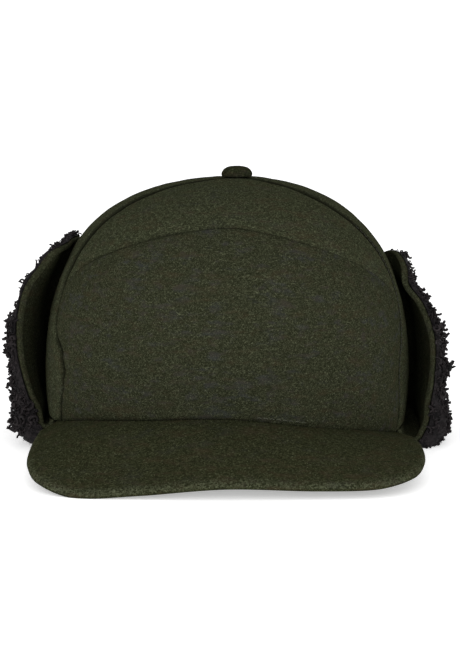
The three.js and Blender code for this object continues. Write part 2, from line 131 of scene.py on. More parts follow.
class Table:
    """Named columns over a key column, read with a smooth curve between the rows."""

    def __init__(self, keys: Sequence[float], **columns: Sequence[float]) -> None:
        """Keeps the key column and the named columns."""
        self.keys = np.array(keys, float)
        self.columns = {name: np.array(values, float) for name, values in columns.items()}

    def read(self, at: Array | float, column: str) -> Array:
        """Reads a column.

        Args:
            at: values of the key.
            column: the column's name.

        Returns:
            The column's values there.
        """
        at = np.asarray(at, float)
        keys, values = self.keys, self.columns[column]
        last = len(keys) - 1
        row = np.arange(len(keys))
        before, after = np.maximum(row - 1, 0), np.minimum(row + 1, last)
        slope = (values[after] - values[before]) / (keys[after] - keys[before])
        i = np.clip(np.searchsorted(keys, at, side="left") - 1, 0, last - 1)
        step = keys[i + 1] - keys[i]
        t = np.clip((at - keys[i]) / step, 0.0, 1.0)
        rise = lerp(values[i], values[i + 1], t * t * (3 - 2 * t))
        return rise + t * (1 - t) ** 2 * step * slope[i] + t * t * (t - 1) * step * slope[i + 1]


def curve_through(points: Array, reach: Array) -> Array:
    """Centripetal curve through points.

    Args:
        points: control points, (..., count, 2).
        reach: place along each curve from 0 to 1, in the leading shape of points.

    Returns:
        The curve's points, (..., 2).
    """
    count = points.shape[-2]
    place = np.clip(reach, 0.0, 1.0) * (count - 1)
    start = np.minimum(place.astype(int), count - 2)
    t = (place - start)[..., None]
    first = 2 * points[..., :1, :] - points[..., 1:2, :]
    last = 2 * points[..., -1:, :] - points[..., -2:-1, :]
    padded = np.concatenate([first, points, last], axis=-2)
    p = [np.take_along_axis(padded, (start + k)[..., None, None], axis=-2)[..., 0, :] for k in range(4)]
    gap = [np.sqrt(np.linalg.norm(p[k + 1] - p[k], axis=-1, keepdims=True)) for k in range(3)]
    into = (p[1] - p[0]) / gap[0] - (p[2] - p[0]) / (gap[0] + gap[1]) + (p[2] - p[1]) / gap[1]
    away = (p[2] - p[1]) / gap[1] - (p[3] - p[1]) / (gap[1] + gap[2]) + (p[3] - p[2]) / gap[2]
    into, away = into * gap[1], away * gap[1]
    square = -3 * p[1] + 3 * p[2] - 2 * into - away
    cube = 2 * p[1] - 2 * p[2] + into + away
    return p[1] + into * t + square * t**2 + cube * t**3


# Frame and meshes


def link(name: str, data: bpy.types.ID) -> Piece:
    """Makes an object of mesh, lamp or camera data and puts it in the scene."""
    made = bpy.data.objects.new(name, data)
    bpy.context.scene.collection.objects.link(made)
    return made


def quads(number: Array) -> list[list[int]]:
    """Corners of the faces between the rows and columns of a grid of vertex numbers."""
    corners = [number[:-1, :-1], number[:-1, 1:], number[1:, 1:], number[1:, :-1]]
    return np.stack(corners, axis=-1).reshape(-1, 4).tolist()


@dataclass(frozen=True)
class CapFrame:
    """Where the crown's own frame lies in the model."""

    origin: tuple[float, float, float]

    @classmethod
    def from_button(cls, apex_shift: float) -> "CapFrame":
        """Finds the crown's axis from the top button, which stands apex_shift beside it."""
        low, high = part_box("top_button")
        middle = (low + high) / 2
        return cls((middle.x / MM - apex_shift, middle.y / MM, 0.0))

    def metres(self, points: Array) -> Array:
        """Turns the crown frame's millimetres into the model's metres."""
        return (points + np.array(self.origin)) * MM


@dataclass(frozen=True)
class Maker:
    """Turns points into finished objects in the model's frame."""

    frame: CapFrame

    def mesh(self, name: str, points: Array, faces: Sequence[Sequence[int]], merge: bool = True) -> Piece:
        """Makes a smooth, closed object.

        Args:
            name: the object's name.
            points: vertices in the crown frame's millimetres.
            faces: vertex numbers of each face.
            merge: whether vertices in one place become one.

        Returns:
            The linked object, with its faces turned outwards.
        """
        data = bpy.data.meshes.new(name)
        data.from_pydata(self.frame.metres(points).tolist(), [], faces)
        form = bmesh.new()
        form.from_mesh(data)
        if merge:
            bmesh.ops.remove_doubles(form, verts=form.verts, dist=0.00002)
            bmesh.ops.dissolve_degenerate(form, edges=form.edges, dist=0.00001)
        bmesh.ops.recalc_face_normals(form, faces=form.faces)
        form.to_mesh(data)
        form.free()
        data.shade_smooth()
        return link(name, data)

    def shell(self, name: str, outer: Array, inner: Array, merge: bool = True) -> Piece:
        """Joins an outer and an inner grid of points into one closed sheet."""
        rows, columns = outer.shape[:2]
        number = np.arange(rows * columns).reshape(rows, columns)
        far = number + rows * columns
        faces = [tuple(face) for face in quads(number)] + [tuple(face[::-1]) for face in quads(far)]
        rim, low = ([*a[0], *a[1:, -1], *a[-1, -2::-1], *a[-2:0:-1, 0]] for a in (number, far))
        for i in range(len(rim)):
            j = (i + 1) % len(rim)
            faces.append((int(rim[i]), int(low[i]), int(low[j]), int(rim[j])))
        points = np.concatenate([outer.reshape(-1, 3), inner.reshape(-1, 3)])
        return self.mesh(name, points, faces, merge)

    def surface(self, name: str, grid: Array) -> Piece:
        """Makes an open surface from a grid of points, to grow something on its outer face."""
        rows, columns = grid.shape[:2]
        faces = quads(np.arange(rows * columns).reshape(rows, columns))
        data = bpy.data.meshes.new(name)
        data.from_pydata(self.frame.metres(grid.reshape(-1, 3)).tolist(), [], faces)
        data.shade_smooth()
        return link(name, data)

    def line(self, name: str, points: Array) -> Piece:
        """Makes a chain of edges through points, to sew along."""
        data = bpy.data.meshes.new(name)
        edges = [(i, i + 1) for i in range(len(points) - 1)]
        data.from_pydata(self.frame.metres(points).tolist(), edges, [])
        return link(name, data)


def shade_points(piece: Piece, name: str, outer: Array) -> None:
    """Stores a value that the finish reads at each vertex of a shell's outer face.

    Args:
        piece: an object made by Maker.shell, unmerged, from the same grids.
        name: the attribute's name, such as seam_shade, which paints shade, or the one that paints the peak's
            edge highlight.
        outer: the values, 0 to 1, at each point of the outer grid.
    """
    layer = piece.data.attributes.new(name, "FLOAT", "POINT")
    shades = np.zeros(len(piece.data.vertices), np.float32)
    shades[: outer.size] = outer.reshape(-1)
    layer.data.foreach_set("value", shades)


def stand_for(made: Piece, node: str) -> Piece:
    """Hangs a finished piece under the body, hides the solid it replaces, and gives it back."""
    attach(made, BODY)
    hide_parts(node)
    LOG.info("%s: %d faces", made.name, len(made.data.polygons))
    return made


def join(name: str, pieces: Sequence[Piece]) -> Piece:
    """Joins pieces into one object that keeps each piece's materials.

    Args:
        name: the joined object's name.
        pieces: mesh objects at the origin, which are used up.

    Returns:
        The joined object.
    """
    with bpy.context.temp_override(
        active_object=pieces[0], selected_editable_objects=list(pieces), selected_objects=list(pieces)
    ):
        bpy.ops.object.join()
    made = pieces[0]
    made.name = name
    made.data.name = name
    return made


# Node trees


def linear(code: str) -> tuple[float, float, float, float]:
    """Turns an sRGB hex colour into linear red, green, blue and alpha."""
    parts = [int(code[i : i + 2], 16) / 255 for i in (1, 3, 5)]
    red, green, blue = ((c / 12.92 if c <= 0.04045 else ((c + 0.055) / 1.055) ** 2.4) for c in parts)
    return red, green, blue, 1.0


def add_node(tree: Tree, kind: str, inputs: Inputs | None = None, **settings: object) -> bpy.types.Node:
    """Adds a node.

    Args:
        tree: the node tree.
        kind: the node's type name.
        inputs: a value or a socket to link, for each input by name or number.
        settings: the node's own properties.

    Returns:
        The node.
    """
    node = tree.nodes.new(kind)
    for name, value in settings.items():
        setattr(node, name, value)
    for key, value in (inputs or {}).items():
        if isinstance(value, Socket):
            tree.links.new(value, node.inputs[key])
        else:
            node.inputs[key].default_value = value
    return node


def result(tree: Tree, kind: str, inputs: Inputs | None = None, **settings: object) -> Socket:
    """Adds a node and gives its first output."""
    return add_node(tree, kind, inputs, **settings).outputs[0]


def new_material(name: str) -> tuple[Material, Tree]:
    """Makes an empty node material and gives it with its tree."""
    material = bpy.data.materials.new(name)
    material.use_nodes = True
    material.node_tree.nodes.clear()
    return material, material.node_tree


def end_material(tree: Tree, inputs: Inputs) -> None:
    """Ends a material's tree in a principled shader with these inputs."""
    shader = result(tree, "ShaderNodeBsdfPrincipled", inputs)
    add_node(tree, "ShaderNodeOutputMaterial", {"Surface": shader})


def maths(tree: Tree, operation: str, *values: object) -> Socket:
    """Reckons with sockets and numbers, such as by MULTIPLY_ADD, and gives the result."""
    return result(tree, "ShaderNodeMath", dict(enumerate(values)), operation=operation)


def spread_range(
    tree: Tree, value: Socket, start: Sequence[float], end: Sequence[float] = (0.0, 1.0), **settings: object
) -> Socket:
    """Turns the range start into the range end, and holds the value within it."""
    inputs = dict(zip(("From Min", "From Max", "To Min", "To Max"), (*start, *end)))
    return result(tree, "ShaderNodeMapRange", {"Value": value, **inputs}, **settings)


def noise_texture(tree: Tree, where: Socket, size_mm: float, detail: float, rough: float = 0.6) -> Socket:
    """Noise whose swells are a size in millimetres."""
    inputs = {"Vector": where, "Scale": 1 / (size_mm * MM), "Detail": detail, "Roughness": rough}
    return result(tree, "ShaderNodeTexNoise", inputs)


def mix_colours(tree: Tree, factor: Socket, first: object, second: object) -> Socket:
    """Mixes two colours, each a socket or linear values, by a factor."""
    inputs = {"Factor": factor, "A": first, "B": second}
    return add_node(tree, "ShaderNodeMix", inputs, data_type="RGBA").outputs["Result"]


@dataclass(frozen=True)
class MeltonWool:
    """Melton: wool twill, fulled until the felted surface hides its weave, then sheared.

    It is matt. Short fibres lie over each other every way and catch the light as fine strokes,
    with soft clouds of blue-grey and brown where fibres of other dyes were carded in.
    """

    name: str
    dark: str = "#1d1f14"
    ground: str = "#2c2e21"
    light: str = "#4a4d3a"
    grey: str = "#313338"
    brown: str = "#342c1f"
    # Colour of the painted shade in the seams, the grooves and the gap behind the flaps.
    seam_shade_colour: str = "#0f100a"
    # Colour of the pale fibre specks, and of the painted highlight along the peak's edge.
    pale_and_highlight: str = "#565a48"
    grey_amount: float = 0.35
    brown_amount: float = 0.4
    stroke_mm: float = 0.6
    stroke_length_mm: float = 2.0
    cloud_mm: float = 9.0
    fleck_mm: float = 3.2
    streak_mm: float = 5.0
    speck_mm: float = 0.7
    relief_mm: float = 0.16

    LIES = (
        (0.0, 1.5, 0.1),
        (0.0, 0.75, 0.1),
        (0.0, -0.85, -0.1),
        (1.6, 0.0, 0.0),
        (0.8, 0.0, 0.1),
        (-0.8, 0.0, 0.0),
        (0.0, 1.6, 0.8),
        (0.0, 1.5, -0.75),
    )
    CLOUD_DRAW = (0.55, 0.8, 1.3)
    STREAK_DRAW = (0.22, 0.3, 1.3)

    def material(self) -> Material:
        """Builds the wool's node material.

        It darkens along a piece's seam_shade attribute, which paints shade into its seams and hollows, and
        pales along a second attribute, which paints a highlight along the peak's edge.
        """
        made, tree = new_material(self.name)
        where = add_node(tree, "ShaderNodeTexCoord").outputs["Object"]
        strokes = self.stroke(tree, where, self.LIES[0])
        for lie in self.LIES[1:]:
            strokes = maths(tree, "MAXIMUM", strokes, self.stroke(tree, where, lie))
        wide = self.drawn(tree, where, self.CLOUD_DRAW)
        clouds = noise_texture(tree, wide, self.cloud_mm, 3.0)
        flecks = noise_texture(tree, wide, self.fleck_mm, 3.0)
        streaks = noise_texture(tree, self.drawn(tree, where, self.STREAK_DRAW), self.streak_mm, 3.0)
        specks = noise_texture(tree, where, self.speck_mm, 1.0)
        grain = spread_range(tree, strokes, (0.56, 0.75))
        colour = self.dyed(tree, grain)
        greys = self.mask(tree, clouds, flecks, (0.98, 1.36), self.grey_amount)
        browns = self.mask(tree, streaks, flecks, (0.95, 1.32), self.brown_amount)
        pale = self.mask(tree, specks, strokes, (1.28, 1.5), 0.7)
        # Painted highlight: pales the cloth along the peak's edge, where the front light catches it.
        edge = add_node(tree, "ShaderNodeAttribute", attribute_name="edge_highlight").outputs["Fac"]
        painted_edge_highlight = maths(tree, "MULTIPLY", edge, grain)
        # Painted shade in seams and hollows, stored per vertex.
        seam = add_node(tree, "ShaderNodeAttribute", attribute_name="seam_shade").outputs["Fac"]
        shares = (greys, browns, pale, painted_edge_highlight, seam)
        codes = (self.grey, self.brown, self.pale_and_highlight, self.pale_and_highlight, self.seam_shade_colour)
        for share, code in zip(shares, codes):
            colour = mix_colours(tree, share, colour, linear(code))
        height = maths(tree, "MULTIPLY_ADD", flecks, 0.8, strokes)
        relief = {"Height": height, "Distance": self.relief_mm * MM, "Strength": 1.0}
        bump = result(tree, "ShaderNodeBump", relief)
        matt = {"Roughness": 1.0, "Specular IOR Level": 0.0}
        end_material(tree, {"Base Color": colour, "Normal": bump, **matt})
        return made

    def dyed(self, tree: Tree, grain: Socket) -> Socket:
        """Colour of the fibres, from the dark between them to the light on their backs."""
        ramp = add_node(tree, "ShaderNodeValToRGB", {0: grain})
        stops = ramp.color_ramp.elements
        stops[0].position = 0.0
        stops[0].color = linear(self.dark)
        stops[1].position = 0.45
        stops[1].color = linear(self.ground)
        stops.new(1.0).color = linear(self.light)
        return ramp.outputs[0]

    def stroke(self, tree: Tree, where: Socket, lie: Sequence[float]) -> Socket:
        """Noise drawn out into fibres that all lie one way.

        Args:
            tree: the material's tree.
            where: the coordinates.
            lie: turn of the fibres' direction from upright, in radians about x, y and z.

        Returns:
            The noise's value.
        """
        drawn = (1.0, 1.0, self.stroke_length_mm / self.stroke_mm)
        inputs = {"Vector": where, "Rotation": lie, "Scale": drawn}
        laid = result(tree, "ShaderNodeMapping", inputs, vector_type="TEXTURE")
        return noise_texture(tree, laid, self.stroke_mm, 2.0)

    @staticmethod
    def drawn(tree: Tree, where: Socket, draw: Sequence[float]) -> Socket:
        """Coordinates in which a noise is drawn out where draw is under 1."""
        return result(tree, "ShaderNodeMapping", {"Vector": where, "Scale": draw})

    @staticmethod
    def mask(tree: Tree, a: Socket, b: Socket, rise: Sequence[float], most: float) -> Socket:
        """Goes from 0 to most while the sum of two noises goes through its rise."""
        total = maths(tree, "ADD", a, b)
        return spread_range(tree, total, rise, (0.0, most), interpolation_type="SMOOTHSTEP")


@dataclass(frozen=True)
class SherpaFleece:
    """Sherpa: knitted polyester pile, brushed and tumbled until it curls into small locks.

    It is near black with a slight purple-brown cast, and each lock's tip catches a little light.
    """

    name: str
    root: str = "#080708"
    tip: str = "#2b2627"
    pile_mm: float = 1.3
    clump_mm: float = 5.0
    relief_mm: float = 0.3

    def material(self) -> Material:
        """Builds the fleece's node material, which reads each lock's own tone."""
        made, tree = new_material(self.name)
        where = add_node(tree, "ShaderNodeTexCoord").outputs["Object"]
        tone = add_node(tree, "ShaderNodeAttribute", attribute_name="lock_tone").outputs["Fac"]
        pile = noise_texture(tree, where, self.pile_mm, 3.0)
        clump = noise_texture(tree, where, self.clump_mm, 2.0, 0.5)
        rough = maths(tree, "MULTIPLY_ADD", tone, 0.45, pile)
        share = spread_range(tree, maths(tree, "MULTIPLY_ADD", clump, 0.8, rough), (0.72, 1.45))
        colour = mix_colours(tree, share, linear(self.root), linear(self.tip))
        relief = {"Height": pile, "Distance": self.relief_mm * MM, "Strength": 0.8}
        bump = result(tree, "ShaderNodeBump", relief)
        sheen = {"Roughness": 0.8, "Specular IOR Level": 0.16}
        end_material(tree, {"Base Color": colour, "Normal": bump, **sheen})
        return made


@dataclass(frozen=True)
class SewingThread:
    """Spun polyester thread: two plies twisted together, with a dull lustre."""

    name: str
    colour: str = "#23241b"
    dark: str = "#191a13"
    ply_mm: float = 0.25

    def material(self) -> Material:
        """Builds the thread's node material."""
        made, tree = new_material(self.name)
        where = add_node(tree, "ShaderNodeTexCoord").outputs["Object"]
        twist = noise_texture(tree, where, self.ply_mm, 1.0, 0.5)
        colour = mix_colours(tree, twist, linear(self.dark), linear(self.colour))
        end_material(tree, {"Base Color": colour, "Roughness": 0.6, "Specular IOR Level": 0.3})
        return made


@dataclass(frozen=True)
class GrowingTree:
    """A geometry tree with named number inputs, and the means to run it on a carrier."""

    name: str
    sizes: dict[str, float]

    def start(self) -> tuple[Tree, bpy.types.Node]:
        """Makes the tree with its inputs and gives it with its input node."""
        tree = bpy.data.node_groups.new(self.name, "GeometryNodeTree")
        tree.interface.new_socket("Geometry", in_out="INPUT", socket_type="NodeSocketGeometry")
        tree.interface.new_socket("Geometry", in_out="OUTPUT", socket_type="NodeSocketGeometry")
        for name, value in self.sizes.items():
            socket = tree.interface.new_socket(name, in_out="INPUT", socket_type="NodeSocketFloat")
            socket.default_value = value
        return tree, add_node(tree, "NodeGroupInput")

    def finish(self, tree: Tree, instances: Socket, material: Material) -> None:
        """Ends the tree in real, dressed geometry."""
        real = result(tree, "GeometryNodeRealizeInstances", {0: instances})
        dressed = result(tree, "GeometryNodeSetMaterial", {"Geometry": real, "Material": material})
        add_node(tree, "NodeGroupOutput", {0: dressed})

    def grow(self, tree: Tree, carrier: Piece, name: str) -> Piece:
        """Runs the tree on a carrier, which is used up.

        Args:
            tree: the finished tree.
            carrier: the object whose geometry the tree reads.
            name: the name of what grows.

        Returns:
            What grew, as a plain mesh object.
        """
        modifier = carrier.modifiers.new("grow", "NODES")
        modifier.node_group = tree
        for item in tree.interface.items_tree:
            if item.item_type == "SOCKET" and item.in_out == "INPUT" and item.name in self.sizes:
                modifier[item.identifier] = float(self.sizes[item.name])
        graph = bpy.context.evaluated_depsgraph_get()
        data = bpy.data.meshes.new_from_object(carrier.evaluated_get(graph), depsgraph=graph)
        carrier.modifiers.remove(modifier)
        bpy.data.objects.remove(carrier)
        data.name = name
        return link(name, data)


# The crown


@dataclass(frozen=True)
class Pucker:
    """A small dent or swelling of the cloth: its place on the crown, its size and its height."""

    azimuth: float
    level: float
    across: float
    along: float
    height: float


@dataclass(frozen=True)
class CrownForm:
    """The crown's outer face, by azimuth in degrees from the front and share of the way from rim to apex."""

    half_width: float = 90.2
    front_length: float = 98.0
    back_length: float = 103.0
    height: float = 129.0
    widest_level: float = 34.0
    rim_inset: float = 0.035
    wall: float = 2.5
    plan_power_front: float = 2.55
    plan_power_back: float = 2.25
    rise_power_front: float = 2.75
    rise_power_side: float = 2.34
    rise_power_back: float = 2.25
    lean: float = -1.8
    apex_shift: float = 3.4
    apex_power: float = 10.0
    rim_front: float = 25.0
    rim_side: float = 11.2
    seam_end: float = 61.0
    back_seam: float = 124.0
    arch_top: float = 112.3
    arch_foot_left: float = 75.0
    arch_foot_right: float = 66.0
    arch_power_left: float = 2.0
    arch_power_right: float = 1.7
    shank_radius: float = 2.3
    swerve: float = 0.32
    stand_tilt: float = 0.6
    face_length_share: float = 1.2

    DENTS = (
        (-80, 0.14, 0.02, 0.14),
        (-60, 0.27, 0.02, 0.09),
        (63, 0.3, 0.016, 0.11),
        (30, 0.42, 0.01, 0.16),
        (-34, 0.5, 0.008, 0.14),
        (95, 0.36, 0.02, 0.16),
        (-98, 0.34, 0.02, 0.16),
        (158, 0.45, 0.022, 0.2),
        (-150, 0.3, 0.018, 0.18),
        (-95, 0.88, -0.034, 0.17),
        (-65, 0.9, -0.024, 0.17),
        (90, 0.84, -0.012, 0.2),
        (65, 0.84, -0.008, 0.2),
    )
    RIM = Table(
        [-180, -157, -137, -92, -62, -40, -17, -3, 10, 26, 41, 62, 92, 137, 157, 180],
        front=[0, 0, 0, 0, 0.38, 0.84, 0.97, 1, 0.945, 0.79, 0.64, 0.06, 0, 0, 0, 0],
        side=[0, 0, 1, 1, 0.5, 0, 0, 0, 0, 0, 0, 0.74, 0.98, 1, 0, 0],
    )
    FRONT_SEAMS = Table(
        [0.05, 0.2, 0.25, 0.32, 0.39, 0.435, 0.485, 0.6, 0.72, 0.84, 1],
        left=[55.4, 54.2, 52.4, 53.0, 55.2, 58.6, 61.6, 63.2, 63.2, 62.8, 59],
        right=[61, 61.6, 61.8, 62, 63, 64, 65, 67.4, 67.2, 63, 53],
    )

    def heading(self, azimuth: Array) -> Array:
        """Level unit vectors that point along azimuths."""
        turn = np.radians(azimuth)
        return np.stack([np.sin(turn), -np.cos(turn), np.zeros_like(turn)], axis=-1)

    def plan_radius(self, azimuth: Array) -> Array:
        """Radius of the widest section."""
        way = self.heading(azimuth)
        front = way[..., 1] < 0
        length = np.where(front, self.front_length, self.back_length)
        power = np.where(front, self.plan_power_front, self.plan_power_back)
        across = (np.abs(way[..., 0]) / self.half_width) ** power
        along = (np.abs(way[..., 1]) / length) ** power
        return (across + along) ** (-1 / power)

    def rise_power(self, azimuth: Array) -> Array:
        """Squareness of the section up the crown."""
        forward = np.cos(np.radians(azimuth))
        end = np.where(forward > 0, self.rise_power_front, self.rise_power_back)
        return lerp(self.rise_power_side, end, forward * forward)

    def sway(self, share: Array) -> Array:
        """Sideways shift of the face, which leans and ends off its middle."""
        return self.lean * (1 - share) + self.apex_shift * np.abs(share) ** self.apex_power

    def rim_height(self, azimuth: Array) -> Array:
        """Height of the rim."""
        front, side = self.RIM.read(azimuth, "front"), self.RIM.read(azimuth, "side")
        return np.maximum(front * self.rim_front + side * self.rim_side, 0.0)

    def low_share(self, azimuth: Array) -> Array:
        """Share of the way up that lies below the widest level."""
        low = self.widest_level - self.rim_height(azimuth)
        return low / (low + self.height)

    def share_at_height(self, azimuth: Array, height: Array) -> Array:
        """Share at which the face reaches a height above the widest level."""
        low = self.low_share(azimuth)
        rise = np.clip((height - self.widest_level) / (self.height - self.widest_level), 0, 1)
        angle = np.arcsin(np.clip(rise ** (self.rise_power(azimuth) / 2), 0, 1))
        return low + (1 - low) * angle / (np.pi / 2)

    def point(self, azimuth: Array, share: Array) -> Array:
        """A point of the outer face."""
        azimuth, share = np.broadcast_arrays(np.asarray(azimuth, float), np.asarray(share, float))
        low, power = self.low_share(azimuth), 2 / self.rise_power(azimuth)
        below = share < low
        foot = lerp(self.rim_height(azimuth), self.widest_level, share / low)
        sunk = (self.widest_level - foot) / self.widest_level
        angle = np.clip((share - low) / (1 - low), 0, 1) * (np.pi / 2)
        rise = lerp(self.widest_level, self.height, np.sin(angle) ** power)
        height = np.where(below, foot, rise)
        reach = np.where(below, 1 - self.rim_inset * sunk**2, np.maximum(np.cos(angle), 0) ** power)
        dent = np.zeros_like(share)
        for at, level, depth, spread in self.DENTS:
            away = np.radians(azimuth - at) ** 2 + (height / self.height - level) ** 2
            dent = dent + depth * np.exp(-away / spread**2)
        radius = (self.plan_radius(azimuth) - dent * self.half_width) * reach
        made = self.heading(azimuth) * radius[..., None]
        made[..., 0] += self.sway(share)
        made[..., 2] = height
        return made

    def normal(self, azimuth: Array, share: Array) -> Array:
        """Outward normals of the face."""
        up = np.minimum(share + 0.004, 0.998)
        down = np.maximum(up - 0.008, 0)
        side = self.point(azimuth + 1, share) - self.point(azimuth - 1, share)
        return unit(np.cross(side, self.point(azimuth, up) - self.point(azimuth, down)))

    def front_seam(self, side: Side, share: Array) -> Array:
        """Azimuth of the seam between the front and a side panel.

        Args:
            side: which of the two seams; the left one swerves a little where it is gathered.
            share: places up the crown.

        Returns:
            Degrees from the front.
        """
        level = self.point(side.value * self.seam_end * np.ones_like(share), share)[..., 2] / self.height
        swerve = 0.0
        if side is Side.LEFT:
            height = level * self.height
            wave = np.sin(height * 0.62) + 0.7 * np.sin(height * 1.13 + 1.0)
            swerve = self.swerve * wave * smooth(height, 20, 26) * (1 - smooth(height, 52, 60))
        return side.value * (self.FRONT_SEAMS.read(level, side.name.lower()) + swerve)

    def top_share(self, azimuth: Array) -> Array:
        """Share at which the panels end round the button's shank."""
        low, power = self.low_share(azimuth), self.rise_power(azimuth)
        angle = np.arccos((self.shank_radius / self.plan_radius(azimuth)) ** (power / 2))
        return low + (1 - low) * angle / (np.pi / 2)

    def arch_share(self, azimuth: Array, aside: Array) -> Array:
        """Share at which the arch seam crosses.

        Args:
            azimuth: degrees from the front.
            aside: 0 mid-front to 1 at the front's seams.

        Returns:
            Shares of the way up the crown.
        """
        turn = math.radians(self.seam_end)
        across = np.minimum(np.sin(aside * turn) / math.sin(turn), 1)
        right = azimuth > 0
        power = np.where(right, self.arch_power_right, self.arch_power_left)
        rise = (1 - across**power) ** (1 / power)
        foot = np.where(right, self.arch_foot_right, self.arch_foot_left)
        middle = (self.arch_foot_left + self.arch_foot_right) / 2
        level = lerp(middle, foot, smooth(180 - np.abs(azimuth), 0, 180 - self.back_seam))
        return self.share_at_height(azimuth, lerp(level, self.arch_top, rise))

    def stand_off(self, azimuth: Array, out: Array, height: Array) -> Array:
        """Points that lie out from the face, level with a height.

        Args:
            azimuth: degrees from the front.
            out: distances from the face.
            height: heights, of which those under the rim are kept.

        Returns:
            The points.
        """
        rim, low = self.rim_height(azimuth), self.low_share(azimuth)
        under = height <= rim
        lower = low * (height - rim) / (self.widest_level - rim)
        upper = self.share_at_height(azimuth, np.clip(height, self.widest_level, self.height))
        share = np.where(under, 0.0, np.where(height < self.widest_level, lower, upper))
        normal = self.normal(azimuth, share)
        level = normal.copy()
        level[..., 2] = 0
        level = unit(level)
        way = np.where(under[..., None], level, unit(lerp(level, normal, self.stand_tilt)))
        made = self.point(azimuth, share) + way * out[..., None]
        made[..., 2] = np.where(under, height, made[..., 2])
        return made


# Where the fleece's front edge tufts out: height and reach in millimetres, and growth
TUFTS = {
    Side.LEFT: (
        (99.0, 4.0, 0.4),
        (89.0, 5.0, -0.12),
        (80.0, 2.4, 0.5),
        (58.0, 5.0, 0.5),
        (43.0, 7.0, 0.8),
        (28.0, 3.0, -0.3),
        (15.0, 5.0, 0.9),
        (1.5, 5.5, -1.0),
    ),
    Side.RIGHT: (
        (89.0, 4.0, -0.5),
        (81.0, 3.0, 0.3),
        (55.0, 6.0, 0.45),
        (39.0, 2.4, 0.9),
        (31.0, 3.0, -0.5),
        (4.0, 4.0, -0.5),
    ),
}


class PanelRows(Enum):
    """How far up the crown a panel runs: below the arch seam, above it, or all the way."""

    BELOW_ARCH = "below"
    ABOVE_ARCH = "above"
    WHOLE = "whole"


@dataclass
class PanelGrid:
    """Places over a panel: where they lie and their distances in millimetres from its seams."""

    azimuth: Array
    share: Array
    base: Array
    radius: Array
    from_upright: Array
    from_level: Array

    @property
    def height(self) -> Array:
        """Heights of the places."""
        return self.base[..., 2]

    @property
    def tight(self) -> Array:
        """How fully a seam can roll there: 1 on the wall, less where the panels crowd at the button."""
        return smooth(self.radius, 4, 22)


